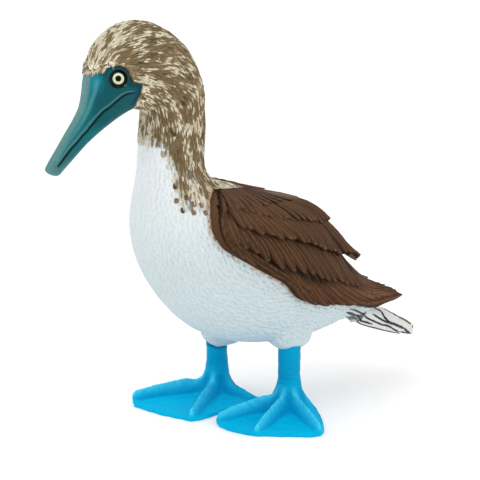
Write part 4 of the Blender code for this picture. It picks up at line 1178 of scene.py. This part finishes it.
coat(coatLooks["head"], isBrown, flakeShape(2, 4),
     {"headCoat": lambda s: s[:, 2] > headStart, "neckCoat": lambda s: s[:, 2] <= headStart},
     (faceRow, rowOverFace(faceRow), (0.6, 1.15), (0.3, 1.0)))
coat(coatLooks["body"], lambda s: ~isBrown(s) & (distances(legTree, s) > legClear),
     flakeShape(2, 4, 1.5),
     {"breastCoat": lambda s: s[:, 1] < breastEnd, "bodyCoat": lambda s: s[:, 1] >= breastEnd},
     (dotLooks, rowOfDots(dotLooks), (0.8, 1.1), (dotLooks["tint"],) * 2))


viewLooks = {
    "aim": (-9.853, 2.103, 35.768), "distance": 380.0, "lens": 123.913,
    "right": (0.5, 0.866025, 0.0), "up": (-0.224144, 0.129410, 0.965926),
    "back": (0.836516, -0.482963, 0.258819),
}
lightLooks = {
    "world": 0.80, "floor": 0.90, "floorGlow": 0.165,
    # name: offset to the camera's right, up and back from its aim, width, power, colour
    "lamps": {"keyLight": ((-990.0, 2520.0, 990.0), 3800.0, 34.0, (1.0, 1.0, 1.0)),
              "fillLight": ((560.0, 260.0, 500.0), 600.0, 0.8, (1.0, 1.0, 1.0))},
}


def plainFloor():
    bm = bmesh.new()
    bmesh.ops.create_grid(bm, x_segments=1, y_segments=1, size=3.0)
    bmesh.ops.translate(bm, vec=(0.0, 0.0, -0.00004), verts=bm.verts)
    mesh = meshFrom(bm, "floor")
    floor = bpy.data.objects.new("floor", mesh)
    bpy.context.scene.collection.objects.link(floor)
    material = bpy.data.materials.new("paleFloor")
    material.use_nodes = True
    shader = material.node_tree.nodes["Principled BSDF"]
    pale = lightLooks["floor"]
    shader.inputs["Base Color"].default_value = (pale, pale * 0.985, pale * 0.985, 1.0)
    shader.inputs["Roughness"].default_value = 0.9
    shader.inputs["Specular IOR Level"].default_value = 0.1
    shader.inputs["Emission Color"].default_value = (1.0, 1.0, 1.0, 1.0)
    shader.inputs["Emission Strength"].default_value = lightLooks["floorGlow"]
    mesh.materials.append(material)


def place(name, data, offset, turned=None):
    # puts a lamp or camera at an offset in the view's own right, up and back, facing the aim
    aim = Vector(onFigure(viewLooks["aim"]))
    away = sum((Vector(viewLooks[k]) * v * mm for k, v in zip(("right", "up", "back"), offset)),
               Vector())
    turned = turned or (-away).to_track_quat("-Z", "Y").to_matrix()
    obj = bpy.data.objects.new(name, data)
    bpy.context.scene.collection.objects.link(obj)
    obj.matrix_world = Matrix.Translation(aim + away) @ turned.to_4x4()
    return obj


plainFloor()
world = bpy.data.worlds.new("studio")
world.use_nodes = True
world.node_tree.nodes["Background"].inputs["Color"].default_value = (1.0, 1.0, 1.0, 1.0)
world.node_tree.nodes["Background"].inputs["Strength"].default_value = lightLooks["world"]
bpy.context.scene.world = world
for name, (offset, width, power, colour) in lightLooks["lamps"].items():
    lamp = bpy.data.lights.new(name, "AREA")
    lamp.shape = "DISK"
    lamp.size = width * mm
    lamp.energy = power
    lamp.color = colour
    place(name, lamp, offset)

camera = bpy.data.cameras.new("photoCamera")
camera.sensor_width = 36.0
camera.lens = viewLooks["lens"]
camera.dof.use_dof = False
turned = Matrix([viewLooks[k] for k in ("right", "up", "back")]).transposed()
bpy.context.scene.camera = place("photoCamera", camera, (0.0, 0.0, viewLooks["distance"]), turned)
bpy.context.scene.view_settings.view_transform = "Standard"
print("stage, lights and camera set")
